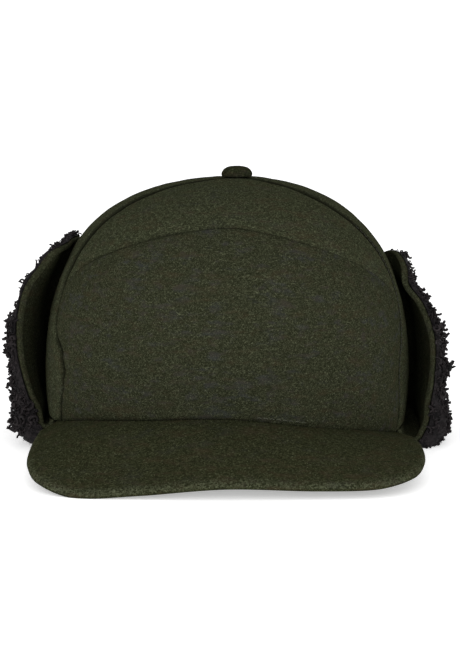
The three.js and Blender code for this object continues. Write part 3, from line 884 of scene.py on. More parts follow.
@dataclass
class CrownPanel:
    """One felt panel of the crown between its seams, with the edges rolled in where it is sewn."""

    name: str
    node: str
    start: Callable[[Array], Array]
    end: Callable[[Array], Array]
    run: PanelRows
    wool: MeltonWool
    columns: int = 96
    rows: int = 60
    crowding: float = 0.6
    seam_rounds: int = 8
    rim_stretch: float = 1.15
    seam_lap: float = 0.03
    seam_valley: float = 0.75
    valley_width: float = 3.0
    seam_cut: float = 1.3
    cut_width: float = 1.2
    cut_power: float = 1.5
    tight_cut: float = 0.3
    arch_fade_right: float = 0.35
    arch_fade_left: float = 0.6
    arch_valley_share: float = 0.55
    arch_cut_share: float = 0.7
    side_shade_width: float = 1.8
    front_shade_width: float = 1.25
    crest_widening: float = 1.9
    tight_shade: float = 0.4
    sewn: tuple[float, float] = (0.0, 0.0)
    sewn_width: float = 2.3
    sewn_depth: float = 0.8
    arch_shade: float = 0.5
    arch_shade_width: float = 0.9
    groove: float = 0.7
    groove_at: float = 4.2
    groove_width: float = 1.0
    groove_shade: tuple[float, float] = (0.4, 0.8)
    swell: float = 0.42
    ruffle: float = 0.16
    pull: float = 0.2
    pull_width: float = 5.0
    puckers: tuple[Pucker, ...] = ()

    @property
    def whole(self) -> bool:
        """Whether the panel runs all the way up, with no arch seam."""
        return self.run is PanelRows.WHOLE

    def shares(self, form: CrownForm, v: Array, azimuth: Array, aside: Array) -> Array:
        """Share of each row."""
        arch = form.arch_share(azimuth, aside)
        if self.run is PanelRows.BELOW_ARCH:
            return arch * v
        if self.run is PanelRows.ABOVE_ARCH:
            return lerp(arch, form.top_share(azimuth), v)
        return v * form.top_share(azimuth)

    def grid(self, form: CrownForm) -> PanelGrid:
        """Works out the panel's places, in rounds, because its seams and its rows depend on each other."""
        across = crowd(np.linspace(0, 1, self.columns + 1), self.crowding)[None, :]
        v = crowd(np.linspace(0, 1, self.rows + 1), self.crowding)[:, None]
        across, v = np.broadcast_arrays(across, v)
        aside = np.abs(2 * across - 1)
        share = np.full(across.shape, 0.5)
        for _ in range(self.seam_rounds):
            azimuth = lerp(self.start(share), self.end(share), across)
            share = self.shares(form, v, azimuth, aside)
        base = form.point(azimuth, share)
        radius = np.hypot(base[..., 0] - form.sway(share), base[..., 1])
        span = np.radians(self.end(share) - self.start(share)) * radius
        meridian = form.face_length_share * form.height
        from_level = share * meridian * self.rim_stretch
        if not self.whole:
            from_arch = np.abs(share - form.arch_share(azimuth, aside)) * meridian
            from_level = np.minimum(from_level, from_arch)
        azimuth = azimuth - np.degrees(self.seam_lap / np.maximum(radius, 2)) * (1 - 2 * across)
        from_upright = np.minimum(across * span, (1 - across) * span)
        return PanelGrid(azimuth, share, base, radius, from_upright, from_level)

    def arch_strength(self, azimuth: Array) -> Array | float:
        """How strongly the arch seam shows, which is less towards its feet."""
        if self.whole:
            return 1.0
        right = lerp(1.0, self.arch_fade_right, smooth(azimuth, -10, 45))
        return right * lerp(1.0, self.arch_fade_left, smooth(-azimuth, 40, 58))

    def roll(self, at: PanelGrid) -> Array:
        """How far the cloth rolls in towards its seams."""
        cut = fall(at.from_upright, self.cut_width, self.cut_power)
        roll = self.seam_valley * fall(at.from_upright, self.valley_width) * at.tight
        roll = roll + self.seam_cut * cut * lerp(self.tight_cut, 1.0, at.tight)
        arch_cut = fall(at.from_level, self.cut_width, self.cut_power)
        arch_roll = self.arch_valley_share * self.seam_valley * fall(at.from_level, self.valley_width)
        arch_roll = arch_roll + self.arch_cut_share * self.seam_cut * arch_cut
        roll = np.maximum(roll, arch_roll * self.arch_strength(at.azimuth) * at.tight)
        return roll + self.groove * self.pressed(at) + self.sewn_depth * self.sewn_in(at)

    def shade(self, at: PanelGrid) -> Array:
        """How much painted shade darkens the cloth in its seams, grooves and gathered stretch, 0 to 1."""
        crest = smooth(at.height, 72, 96) * smooth(100 - np.abs(at.azimuth), 0, 25)
        width = self.side_shade_width if self.whole else self.front_shade_width
        width = width * lerp(1.0, self.crest_widening, crest)
        shade = fall(at.from_upright, width, 3) * lerp(self.tight_shade, 1.0, at.tight)
        fade = self.arch_strength(at.azimuth) * (0.75 + 0.5 * ripple(at.base, 12.0, 4.0))
        arch_shade = self.arch_shade * fade * fall(at.from_level, self.arch_shade_width)
        shade = np.clip(np.maximum(shade, arch_shade), 0, 1)
        shade = np.maximum(shade, lerp(*self.groove_shade, crest) * self.pressed(at))
        return np.clip(np.maximum(shade, self.sewn_in(at)), 0, 1)

    def pressed(self, at: PanelGrid) -> Array:
        """Groove pressed beside the upper seams of a whole panel, where its seam allowance ends."""
        if not self.whole:
            return np.zeros_like(at.radius)
        groove = fall(at.from_upright - self.groove_at, self.groove_width) * at.tight
        return groove * smooth(at.height, 66, 84)

    def sewn_in(self, at: PanelGrid) -> Array:
        """Deep, gathered stretch of the left front seam, between the heights in sewn."""
        low, high = self.sewn
        if high <= low:
            return np.zeros_like(at.radius)
        window = smooth(at.height, low - 3, low + 3) * (1 - smooth(at.height, high - 4, high + 6))
        return fall(at.from_upright, self.sewn_width, 3) * window * (at.azimuth < 0)

    def wave(self, at: PanelGrid) -> Array:
        """How far the cloth swells out between its seams and puckers along them."""
        edge = np.minimum(at.from_upright, at.from_level)
        wave = self.swell * ripple(at.base, 34.0, 1.0) * smooth(edge, 0, 9)
        wave = wave + self.ruffle * ripple(at.base, 9.0, 2.0) * smooth(edge, 0, 4)
        pull = self.pull * ripple(at.base * np.array([1, 1, 1.6]), 6.5, 3.0)
        wave = wave + pull * fall(edge, self.pull_width) * smooth(edge, 0, 1.5) * at.tight
        for spot in self.puckers:
            aside = np.radians(at.azimuth - spot.azimuth) * at.radius / spot.across
            above = (at.height - spot.level) / spot.along
            wave = wave + spot.height * np.exp(-(aside**2) - above**2)
        return wave

    def build(self, form: CrownForm, maker: Maker) -> Piece:
        """Makes the panel's object."""
        at = self.grid(form)
        normal = form.normal(at.azimuth, at.share)
        normal = np.where((at.share <= 0)[..., None], unit(normal * np.array([1, 1, 0])), normal)
        face = form.point(at.azimuth, at.share)
        outer = face + normal * (self.wave(at) - self.roll(at))[..., None]
        made = maker.shell(self.name, outer, face - normal * form.wall, merge=False)
        shade_points(made, "seam_shade", self.shade(at))
        made.data.materials.append(self.wool.material())
        return stand_for(made, self.node)


@dataclass
class Crown:
    """The crown's six felt panels."""

    form: CrownForm
    maker: Maker
    lower_wool: MeltonWool = MeltonWool("melton_front_panel", grey_amount=0.45)
    # Paler than the front wool: painted light that makes up for the light falling off over the upper front;
    # its fewer grey clouds and longer fibres are the cloth's own.
    upper_wool_painted_light: MeltonWool = MeltonWool(
        "melton_upper_front",
        dark="#202217",
        ground="#313425",
        light="#50543f",
        grey_amount=0.15,
        stroke_mm=0.7,
        stroke_length_mm=2.3,
    )
    # Paler than the front wool: painted light that makes up for the side panels turning away from the front
    # light; its fewer grey clouds and longer fibres are the cloth's own.
    side_wool_painted_light: MeltonWool = MeltonWool(
        "melton_side_panels",
        dark="#212318",
        ground="#333627",
        light="#525641",
        grey_amount=0.15,
        stroke_mm=0.7,
        stroke_length_mm=2.3,
    )

    GATHERED = (22.0, 56.0)
    PUCKERS = (
        Pucker(-57.5, 38, 2.6, 6.0, 0.9),
        Pucker(-50.5, 31, 3.0, 5.0, 0.7),
        Pucker(-58.5, 52, 2.6, 7.0, 0.7),
        Pucker(-47.0, 44, 4.5, 10.0, -0.5),
    )

    def panels(self) -> list[CrownPanel]:
        """The panels, from the front round to the back."""
        form = self.form

        def left(share: Array) -> Array:
            """Azimuth of the left front seam."""
            return form.front_seam(Side.LEFT, share)

        def right(share: Array) -> Array:
            """Azimuth of the right front seam."""
            return form.front_seam(Side.RIGHT, share)

        def fixed(azimuth: float) -> Callable[[Array], Array]:
            """A seam that runs straight up at an azimuth."""
            return lambda share: np.full_like(share, azimuth)

        seam = form.back_seam
        lower = (PanelRows.BELOW_ARCH, self.lower_wool, 120, 60)
        upper = (PanelRows.ABOVE_ARCH, self.upper_wool_painted_light, 120, 44)
        whole = (PanelRows.WHOLE, self.side_wool_painted_light, 56, 90)
        front = CrownPanel("felt_front_lower", "crown_front_lower", left, right, *lower)
        side = CrownPanel("felt_side_left", "crown_side_left", fixed(-seam), left, *whole)
        front.sewn = side.sewn = self.GATHERED
        front.puckers, side.puckers = self.PUCKERS, self.PUCKERS[:3]
        return [
            front,
            CrownPanel("felt_front_upper", "crown_front_upper", left, right, *upper),
            side,
            CrownPanel("felt_side_right", "crown_side_right", right, fixed(seam), *whole),
            CrownPanel("felt_back_left", "crown_back_left", fixed(-180), fixed(-seam), *whole),
            CrownPanel("felt_back_right", "crown_back_right", fixed(seam), fixed(180), *whole),
        ]

    def build(self) -> None:
        """Makes every panel."""
        for panel in self.panels():
            panel.build(self.form, self.maker)


@dataclass
class TopButton:
    """Domed button covered in the crown's cloth, whose gathers show under its rim."""

    form: CrownForm
    maker: Maker
    diameter: float = 15.3
    height: float = 5.3
    seat: float = 0.3
    stem: float = 2.8
    shank: float = 2.0
    sides: int = 48
    gathers: int = 11
    gather_depth: float = 0.012
    roundness: float = 0.72
    brim_share: float = 0.22
    wool: MeltonWool = MeltonWool(
        "melton_button_cover", dark="#16180f", ground="#25271a", light="#3b3e2b", grey_amount=0.2
    )

    def outline(self) -> list[tuple[float, float]]:
        """The button's section from its shank to its top, as radius and level."""
        points = [(0.001, -self.stem), (self.shank, -self.stem), (self.shank, self.seat * 0.3)]
        brim = self.seat + self.height * self.brim_share
        for angle in np.radians(np.linspace(-80, 90, 26)):
            rise = max(math.sin(angle), -0.34)
            reach = abs(math.cos(angle)) ** self.roundness
            lift = self.height * (1 - self.brim_share) if rise > 0 else self.height * 0.5
            points.append((max(self.diameter / 2 * reach, 0.001), brim + lift * rise))
        return points

    def build(self) -> Piece:
        """Makes the button."""
        turn = np.linspace(0, 2 * np.pi, self.sides, endpoint=False)
        rings = []
        for reach, level in self.outline():
            crease = self.gather_depth * np.sin(turn * self.gathers) * smooth(reach, 2, 7) * (level < 2.5)
            radius = reach * (1 + crease)
            ring = [radius * np.cos(turn), radius * np.sin(turn), np.full_like(turn, level)]
            rings.append(np.stack(ring, axis=-1))
        points = np.array(rings)
        points[..., 2] += 0.12 * ripple(points, 4.0, 5.0) * (points[..., 2] > 1)
        points += np.array([self.form.apex_shift, 0, self.form.height])
        number = np.arange(len(rings) * self.sides).reshape(len(rings), self.sides)
        faces = quads(np.concatenate([number, number[:, :1]], axis=1))
        made = self.maker.mesh("covered_button", points.reshape(-1, 3), faces)
        made.data.materials.append(self.wool.material())
        return stand_for(made, "top_button")


# The peak


@dataclass
class Peak:
    """Stiff board wrapped in felt, sewn under the front rim, with a rounded edge all round."""

    form: CrownForm
    maker: Maker
    half_width: float = 90.4
    reach: float = 59.0
    thickness: float = 3.8
    camber: float = 2.2
    edge_radius: float = 2.3
    under_rim: float = 0.95
    root_lap: float = 0.2
    columns: int = 170
    rows: int = 64
    row_crowding: float = 1.9
    edge_stretch: float = 1.9
    ridge_depth: float = 0.22
    ridge_at: float = 4.2
    ridge_width: float = 2.2
    swell: float = 0.3
    dimple: float = 0.1
    # Strength and width of the painted highlight along the edge.
    highlight_strength: float = 0.5
    highlight_width: float = 6.0
    level_step: float = 12.0
    wool: MeltonWool = MeltonWool(
        "melton_peak_cover",
        dark="#1d1f13",
        ground="#2c2e1e",
        light="#444733",
        grey_amount=0.15,
        brown_amount=0.45,
        stroke_mm=0.85,
        stroke_length_mm=2.6,
    )

    ACROSS = (-0.985, -1.01, -1.0, -0.93, -0.76, -0.45, 0, 0.45, 0.76, 0.93, 1.0, 1.01, 0.985)
    AHEAD = (-0.55, -0.05, 0.4, 0.74, 0.92, 0.98, 1, 0.98, 0.92, 0.74, 0.4, -0.05, -0.55)
    LEVEL = (0.56, 0.47, 0.39, 0.27, 0.12, 0.18, 0.31, 0.27, 0.28, 0.38, 0.46, 0.5, 0.45)

    def edge(self, u: Array) -> Array:
        """Points of the front edge, from the left seam to the right."""
        form = self.form
        x = np.array(self.ACROSS) * self.half_width + form.lean
        y = -(form.front_length + np.array(self.AHEAD) * self.reach)
        z = np.array(self.LEVEL) * form.rim_front
        flat = np.stack([x, y], axis=-1)
        level = np.stack([np.arange(len(z), dtype=float) * self.level_step, z], axis=-1)
        shape = (*u.shape, len(x), 2)
        plan = curve_through(np.broadcast_to(flat, shape), u)
        rise = curve_through(np.broadcast_to(level, shape), u)
        return np.concatenate([plan, rise[..., 1:]], axis=-1)

    def build(self) -> Piece:
        """Makes the peak."""
        form = self.form
        u = crowd(np.linspace(0, 1, self.columns + 1), 0.35)[None, :]
        steps = np.linspace(0, 1, self.rows + 1)[:, None]
        out = 1 - (1 - steps) ** self.row_crowding
        u, out = np.broadcast_arrays(u, out)
        azimuth = lerp(-1.0, 1.0, u) * form.seam_end
        rim = np.zeros_like(u)
        normal = unit(form.normal(azimuth, rim) * np.array([1, 1, 0]))
        seam = form.point(azimuth, rim) - normal * form.wall * self.under_rim
        seam[..., 2] += self.root_lap
        edge = self.edge(u)
        top = lerp(seam, edge, out[..., None])
        top[..., 2] += self.camber * np.sin(np.pi * out**0.8) * (1 - np.abs(2 * u - 1))
        length = np.linalg.norm(edge - seam, axis=-1)
        from_edge = (1 - out) * length
        side = np.minimum(u, 1 - u) * 2 * self.half_width * self.edge_stretch
        free = np.minimum(from_edge, side)
        curl = np.clip(1 - free / self.edge_radius, 0, 1)
        half = np.maximum(self.thickness / 2 * np.sqrt(1 - curl**2), THINNEST)
        swell = self.swell * ripple(top, 26.0, 6.0) + self.dimple * ripple(top, 7.0, 7.0)
        ridge = self.ridge_depth * fall(from_edge - self.ridge_at, self.ridge_width)
        calm = smooth(free, 0, 6) * smooth(out * length, 1, 9)
        middle = top.copy()
        middle[..., 2] -= self.thickness / 2
        upper, lower = middle.copy(), middle.copy()
        upper[..., 2] += half + swell * calm - ridge * smooth(side, 4, 20)
        lower[..., 2] -= half
        made = self.maker.shell("felt_peak", upper[::-1], lower[::-1], merge=False)
        # Painted highlight along the edge, where the front light catches the rounded felt.
        pale_and_highlight = self.highlight_strength * (1 - smooth(from_edge, 0.0, self.highlight_width))
        pale_and_highlight = pale_and_highlight * (1 + 0.6 * ripple(top, 9.0, 13.0))
        shade_points(made, "edge_highlight", np.clip(pale_and_highlight, 0, 1)[::-1])
        made.data.materials.append(self.wool.material())
        return stand_for(made, "peak")


# The ear flaps


@dataclass
class FlapForm:
    """Middle face of a turned-up flap's wool, from under the rim, round its fold and up the crown."""

    form: CrownForm
    wall: float = 2.5
    centre: float = 100.0
    half_span: float = 33.5
    top_left: float = 96.0
    top_right: float = 88.4
    bow_left: float = 4.5
    bow_right: float = 7.0
    edge_bow: float = 13.7
    flare_power: float = 3.5
    tuck: float = 0.55
    narrowing: float = 0.4
    corner_power: float = 3.2
    droop: float = 0.2
    droop_power: float = 3.2
    fold_radius_left: float = 3.0
    fold_radius_right: float = 5.4
    fold_drop: float = 0.6
    fold_turns: int = 5
    fold_share: float = 4 / 14
    clearance: float = 0.3

    NUDGE = 5e-4
    RISE = (0.06, 0.16, 0.3, 0.45, 0.6, 0.74, 0.86, 0.94, 1.0)
    BOW = {
        Side.LEFT: (0.25, 0.51, 0.74, 0.92, 0.99, 0.95, 0.69, 0.62, 0.1),
        Side.RIGHT: (0.72, 0.71, 0.83, 0.86, 0.77, 0.52, 0.19, 0.39, 0.62),
    }

    def section(self, side: Side, rim: Array, bow: Array) -> Array:
        """Control points (distance from the crown, height) of the section at each place."""
        radius = self.fold_radius_right if side is Side.RIGHT else self.fold_radius_left
        top = self.top_right if side is Side.RIGHT else self.top_left
        start_x = -self.form.wall / 2
        start_z = rim - self.clearance
        points = [np.stack([np.full_like(rim, start_x), start_z], axis=-1)]
        for turn in range(self.fold_turns):
            angle = math.pi * (1 + turn / self.fold_turns)
            x = start_x + radius * (1 + math.cos(angle))
            z = start_z - self.fold_drop + radius * math.sin(angle)
            points.append(np.stack([np.full_like(rim, x), z], axis=-1))
        foot = 2 * self.clearance + self.wall / 2
        for rise, stand in zip(self.RISE, self.BOW[side]):
            points.append(np.stack([foot + stand * bow, lerp(rim, top, rise)], axis=-1))
        return np.stack(points, axis=-2)

    def point(self, side: Side, along: Array, up: Array, out: Array) -> Array:
        """Points of the flap.

        Args:
            side: which flap.
            along: -1 at the front edge to 1 at the back edge.
            up: 0 under the rim to 1 at the top edge.
            out: distance from the wool's middle, outwards.

        Returns:
            Points in the crown frame's millimetres.
        """
        narrow = 1 - self.narrowing * up**self.corner_power
        azimuth = side.value * (self.centre + self.half_span * along * narrow)
        middle = self.bow_right if side is Side.RIGHT else self.bow_left
        flared = lerp(middle, self.edge_bow, np.maximum(-along, 0) ** self.flare_power)
        bow = np.where(along < 0, flared, middle * (1 - self.tuck * along * along))
        droop = self.droop * np.abs(along) ** self.droop_power * up * up
        section = self.section(side, self.form.rim_height(azimuth), bow)
        fold_part = (self.fold_turns + 1) / (section.shape[-2] - 1)
        above = fold_part + (1 - fold_part) * (1 - droop) * (up - self.fold_share) / (1 - self.fold_share)
        reach = np.where(up < self.fold_share, fold_part * up / self.fold_share, above)
        at = curve_through(section, reach)
        way = unit(curve_through(section, reach + self.NUDGE) - curve_through(section, reach - self.NUDGE))
        x = at[..., 0] + way[..., 1] * out
        z = at[..., 1] - way[..., 0] * out
        return self.form.stand_off(azimuth, x, z)


def tube_along(tree: Tree, curve: Socket, sides: int, radius: Socket) -> Socket:
    """Turns a curve into a closed tube."""
    ring = result(tree, "GeometryNodeCurvePrimitiveCircle", {"Resolution": sides, "Radius": radius})
    swept = {"Curve": curve, "Profile Curve": ring, "Fill Caps": True}
    return result(tree, "GeometryNodeCurveToMesh", swept)


@dataclass
class FleeceLocks:
    """Curled locks of pile, grown over a surface by a geometry tree."""

    fleece: Material
    per_mm2: float = 0.23
    length: float = 2.6
    curl: float = 1.0
    curl_end: float = 0.4
    thickness: float = 0.5
    tip_share: float = 0.3
    clump_mm: float = 9.0
    seed: int = 3

    CURLS = ((1.35, 0.25), (-1.1, 0.4), (0.75, 0.1))

    def lock(self, tree: Tree, entry: bpy.types.Node, turns: float, lean: float) -> Socket:
        """Makes one kind of lock.

        Args:
            tree: the geometry tree.
            entry: its input node.
            turns: turns of the curl, which goes the other way if they are negative.
            lean: lean of the lock in radians.

        Returns:
            The lock's geometry.
        """
        spiral = {
            "Resolution": 7,
            "Rotations": abs(turns),
            "Start Radius": entry.outputs["Curl radius"],
            "End Radius": self.curl_end * MM,
            "Height": entry.outputs["Lock length"],
            "Reverse": turns < 0,
        }
        helix = result(tree, "GeometryNodeCurveSpiral", spiral)
        along = add_node(tree, "GeometryNodeSplineParameter").outputs["Factor"]
        taper = spread_range(tree, along, (0.0, 1.0), (1.0, self.tip_share))
        shaped = result(tree, "GeometryNodeSetCurveRadius", {"Curve": helix, "Radius": taper})
        tube = tube_along(tree, shaped, 3, entry.outputs["Lock thickness"])
        return result(tree, "GeometryNodeTransform", {"Geometry": tube, "Rotation": (lean, 0.0, 0.0)})

    def scatter(self, tree: Tree, shift: int, low: Sequence[float], high: Sequence[float]) -> Socket:
        """Random vectors between two corners, drawn by the seed plus a shift."""
        inputs = {0: low, 1: high, "Seed": self.seed + shift}
        return result(tree, "FunctionNodeRandomValue", inputs, data_type="FLOAT_VECTOR")

    def build(self, carrier: Piece, name: str) -> Piece:
        """Grows the locks over a carrier's faces, which it uses up."""
        sizes = {
            "Locks per area": self.per_mm2 / MM**2,
            "Lock length": self.length * MM,
            "Curl radius": self.curl * MM,
            "Lock thickness": self.thickness * MM,
        }
        growing = GrowingTree("curled_locks", sizes)
        tree, entry = growing.start()
        faces, density = entry.outputs["Geometry"], entry.outputs["Locks per area"]
        inputs = {"Mesh": faces, "Density": density, "Seed": self.seed}
        spread = add_node(tree, "GeometryNodeDistributePointsOnFaces", inputs)
        kinds = add_node(tree, "GeometryNodeGeometryToInstance")
        for turns, lean in self.CURLS:
            tree.links.new(self.lock(tree, entry, turns, lean), kinds.inputs[0])
        spin = self.scatter(tree, 1, (-0.75, -0.75, 0.0), (0.75, 0.75, 6.283))
        turn = {"Rotation": spread.outputs["Rotation"], "Rotate By": spin}
        turned = result(tree, "FunctionNodeRotateEuler", turn, space="LOCAL")
        clump = result(tree, "ShaderNodeTexNoise", {"Scale": 1 / (self.clump_mm * MM), "Detail": 1.0})
        stand = spread_range(tree, clump, (0.34, 0.7), (0.5, 1.75))
        random = self.scatter(tree, 2, (0.7, 0.7, 0.5), (1.3, 1.3, 1.25))
        full = result(tree, "GeometryNodeInputNamedAttribute", {"Name": "lock_size"}, data_type="FLOAT")
        local = maths(tree, "MULTIPLY", stand, full)
        size = result(tree, "ShaderNodeVectorMath", {0: random, "Scale": local}, operation="SCALE")
        plant = {
            "Points": spread.outputs[0],
            "Instance": kinds.outputs[0],
            "Pick Instance": True,
            "Rotation": turned,
            "Scale": size,
        }
        planted = result(tree, "GeometryNodeInstanceOnPoints", plant)
        tone = add_node(tree, "FunctionNodeRandomValue", {"Seed": self.seed + 4}, data_type="FLOAT")
        stored = {"Geometry": planted, "Name": "lock_tone", "Value": tone.outputs[1]}
        kept = {"data_type": "FLOAT", "domain": "INSTANCE"}
        toned = result(tree, "GeometryNodeStoreNamedAttribute", stored, **kept)
        growing.finish(tree, toned, self.fleece)
        return growing.grow(tree, carrier, name)


@dataclass
class EarFlap:
    """One turned-up flap: a wool sheet, with fleece sewn to the face that now shows."""

    side: Side
    shape: FlapForm
    maker: Maker
    fleece: Material
    wool: MeltonWool
    columns: int = 70
    rows: int = 96
    clearance: float = 0.25
    fold_rows: int = 28
    fold_up: float = 0.3
    half_length: float = 52.0
    run: float = 118.0
    flat_length: float = 115.0
    edge_radius: float = 1.4
    hem_width: float = 1.8
    hem_height: float = 0.4
    hem_fall: float = 1.6
    bend: float = 0.35
    bend_most: float = 0.1
    lit_edge: float = 0.8
    lit_fade: float = 12.0
    sunk_shade: float = 0.02
    fleece_start: float = 0.07
    backing: float = 0.2
    pile: float = 4.9
    least_share: float = 0.3
    body_share: float = 0.3
    lump_share: float = 0.12
    thinnest_pile: float = 0.6
    over_floor: float = 0.4
    locks_over_floor: float = 0.05
    top_thinning: float = 0.5
    edge_round: float = 3.2
    fold_fullest: float = 0.28
    fold_fullness: float = 0.15
    fold_swell: float = 1.2
    top_lock: float = 0.62
    tuft_depth: float = 2.4
    tufts: tuple[tuple[float, float, float], ...] = ()

    LOCK_SIZES = (0.3, 1.5)
    SEEDS = {Side.LEFT: 11, Side.RIGHT: 29}

    @property
    def label(self) -> str:
        """The side's name, as the pieces' names end."""
        return self.side.name.lower()

    def grid(self) -> tuple[Array, Array]:
        """Values of along and up over the flap, ordered so that the outside faces out."""
        along = crowd(np.linspace(-1, 1, self.columns + 1) / 2 + 0.5, 0.45) * 2 - 1
        fold = np.linspace(0, self.fold_up, self.fold_rows, endpoint=False)
        up = np.concatenate([fold, np.linspace(self.fold_up, 1, self.rows - self.fold_rows + 1)])
        if self.side is Side.LEFT:
            along = along[::-1]
        return np.broadcast_arrays(along[None, :], up[:, None])

    def free_edge(self, along: Array, up: Array) -> Array:
        """Distance in millimetres, roughly, to the flap's nearest free edge."""
        return np.minimum((1 - np.abs(along)) * self.half_length, (1 - up) * self.run)

    def hem(self, along: Array, up: Array, places: Array) -> Array:
        """How far the turned hem swells out of the wool's inner face along the front edge."""
        away = self.free_edge(along, up) / self.hem_width
        rounded = np.sqrt(np.clip(1 - (away - 1) ** 2, 0, 1))
        rise = np.where(away < 1, rounded, np.exp(-np.maximum(away - 1, 0) ** 2 * self.hem_fall))
        front = smooth(-along, -0.1, 0.6) * smooth(up, 0.1, 0.32)
        return self.hem_height * rise * front * (1 + 0.25 * ripple(places, 14.0, 12.0))

    def build_wool(self) -> Piece:
        """Makes the wool sheet, whose free edges are turned and rounded."""
        along, up = self.grid()
        shape, side = self.shape, self.side
        free = self.free_edge(along, up)
        curl = np.clip(1 - free / self.edge_radius, 0, 1)
        half = np.maximum(shape.wall / 2 * np.sqrt(1 - curl**2), THINNEST)
        middle = shape.point(side, along, up, np.zeros_like(along))
        bend = np.minimum(self.bend * ripple(middle, 22.0, 8.0), self.bend_most) * smooth(up, 0.3, 0.5)
        outer = shape.point(side, along, up, half + bend)
        inner = shape.point(side, along, up, -half + bend - self.hem(along, up, middle))
        made = self.maker.shell(f"felt_flap_{self.label}", inner[:, ::-1], outer[:, ::-1], merge=False)
        sunk = smooth(free, self.lit_edge, self.lit_edge + self.lit_fade) * smooth(up, 0.2, 0.36)
        shade_points(made, "seam_shade", (self.sunk_shade * sunk)[:, ::-1])
        made.data.materials.append(self.wool.material())
        stand_for(made, f"ear_flap_{self.label}")
        return made

    def depth(self, along: Array, up: Array) -> Array:
        """How far out of the wool's middle the face of the fleece's backing lies."""
        rim = np.maximum(np.abs(along), up)
        body = self.body_share * smooth(1 - rim, 0, 0.12)
        lump = self.lump_share * np.sin(9 * along + 5 * up) * np.sin(11 * up - 4 * along)
        swell = self.fold_swell * fall(up - self.fold_fullest, self.fold_fullness)
        round_edge = np.sqrt(1 - np.clip(1 - self.free_edge(along, up) / self.edge_round, 0, 1) ** 2)
        thin = 1 - self.top_thinning * smooth(up, 0.66, 0.85) * (1 - smooth(up, 0.94, 1))
        tuft = self.tuft(along, self.shape.point(self.side, along, up, np.zeros_like(along))[..., 2])
        body = self.pile * (self.least_share + body + lump + swell) * thin + self.tuft_depth * tuft
        body = np.maximum(body, self.thinnest_pile) * round_edge
        return self.shape.wall / 2 + self.clearance + body + self.backing

    def tuft(self, along: Array, height: Array) -> Array:
        """How much fuller than elsewhere the pile grows towards the front edge, at a height."""
        total = np.zeros_like(height)
        for level, reach, growth in self.tufts:
            total = total + growth * fall(height - level, reach)
        return total * smooth(-along, 0.5, 0.95)

    def build_fleece(self) -> Piece:
        """Makes the fleece: a lumpy backing with curled locks grown over it."""
        along, up = self.grid()
        keep = up[:, 0] >= self.fleece_start
        along, up = along[keep], up[keep]
        shape, side = self.shape, self.side
        deep = self.depth(along, up)
        base = shape.point(side, along, up, np.full_like(along, shape.wall / 2 + self.clearance))
        face = shape.point(side, along, up, deep)
        lumps = ripple(face, 9.0, 9.0) + ripple(face, 3.6, 10.0)
        face = shape.point(side, along, up, deep + lumps * smooth(self.free_edge(along, up), 0, 4))
        face[..., 2] = np.maximum(face[..., 2], self.over_floor)
        name = f"sherpa_{self.label}"
        backing = self.maker.shell(f"{name}_backing", face, base)
        backing.data.materials.append(self.fleece)
        carrier = self.maker.surface(f"{name}_carrier", face)
        full = lerp(1.0, self.top_lock, smooth(up, 0.5, 0.9)) + self.tuft(along, face[..., 2])
        layer = carrier.data.attributes.new("lock_size", "FLOAT", "POINT")
        layer.data.foreach_set("value", np.clip(full, *self.LOCK_SIZES).reshape(-1).astype(np.float32))
        locks = FleeceLocks(self.fleece, seed=self.SEEDS[side]).build(carrier, f"{name}_locks")
        for vertex in locks.data.vertices:
            vertex.co.z = max(vertex.co.z, self.locks_over_floor * MM)
        made = stand_for(join(name, [backing, locks]), f"ear_flap_fleece_{self.label}")
        return made

    def build(self) -> None:
        """Makes the flap's two pieces."""
        self.build_wool()
        self.build_fleece()


# Stitches


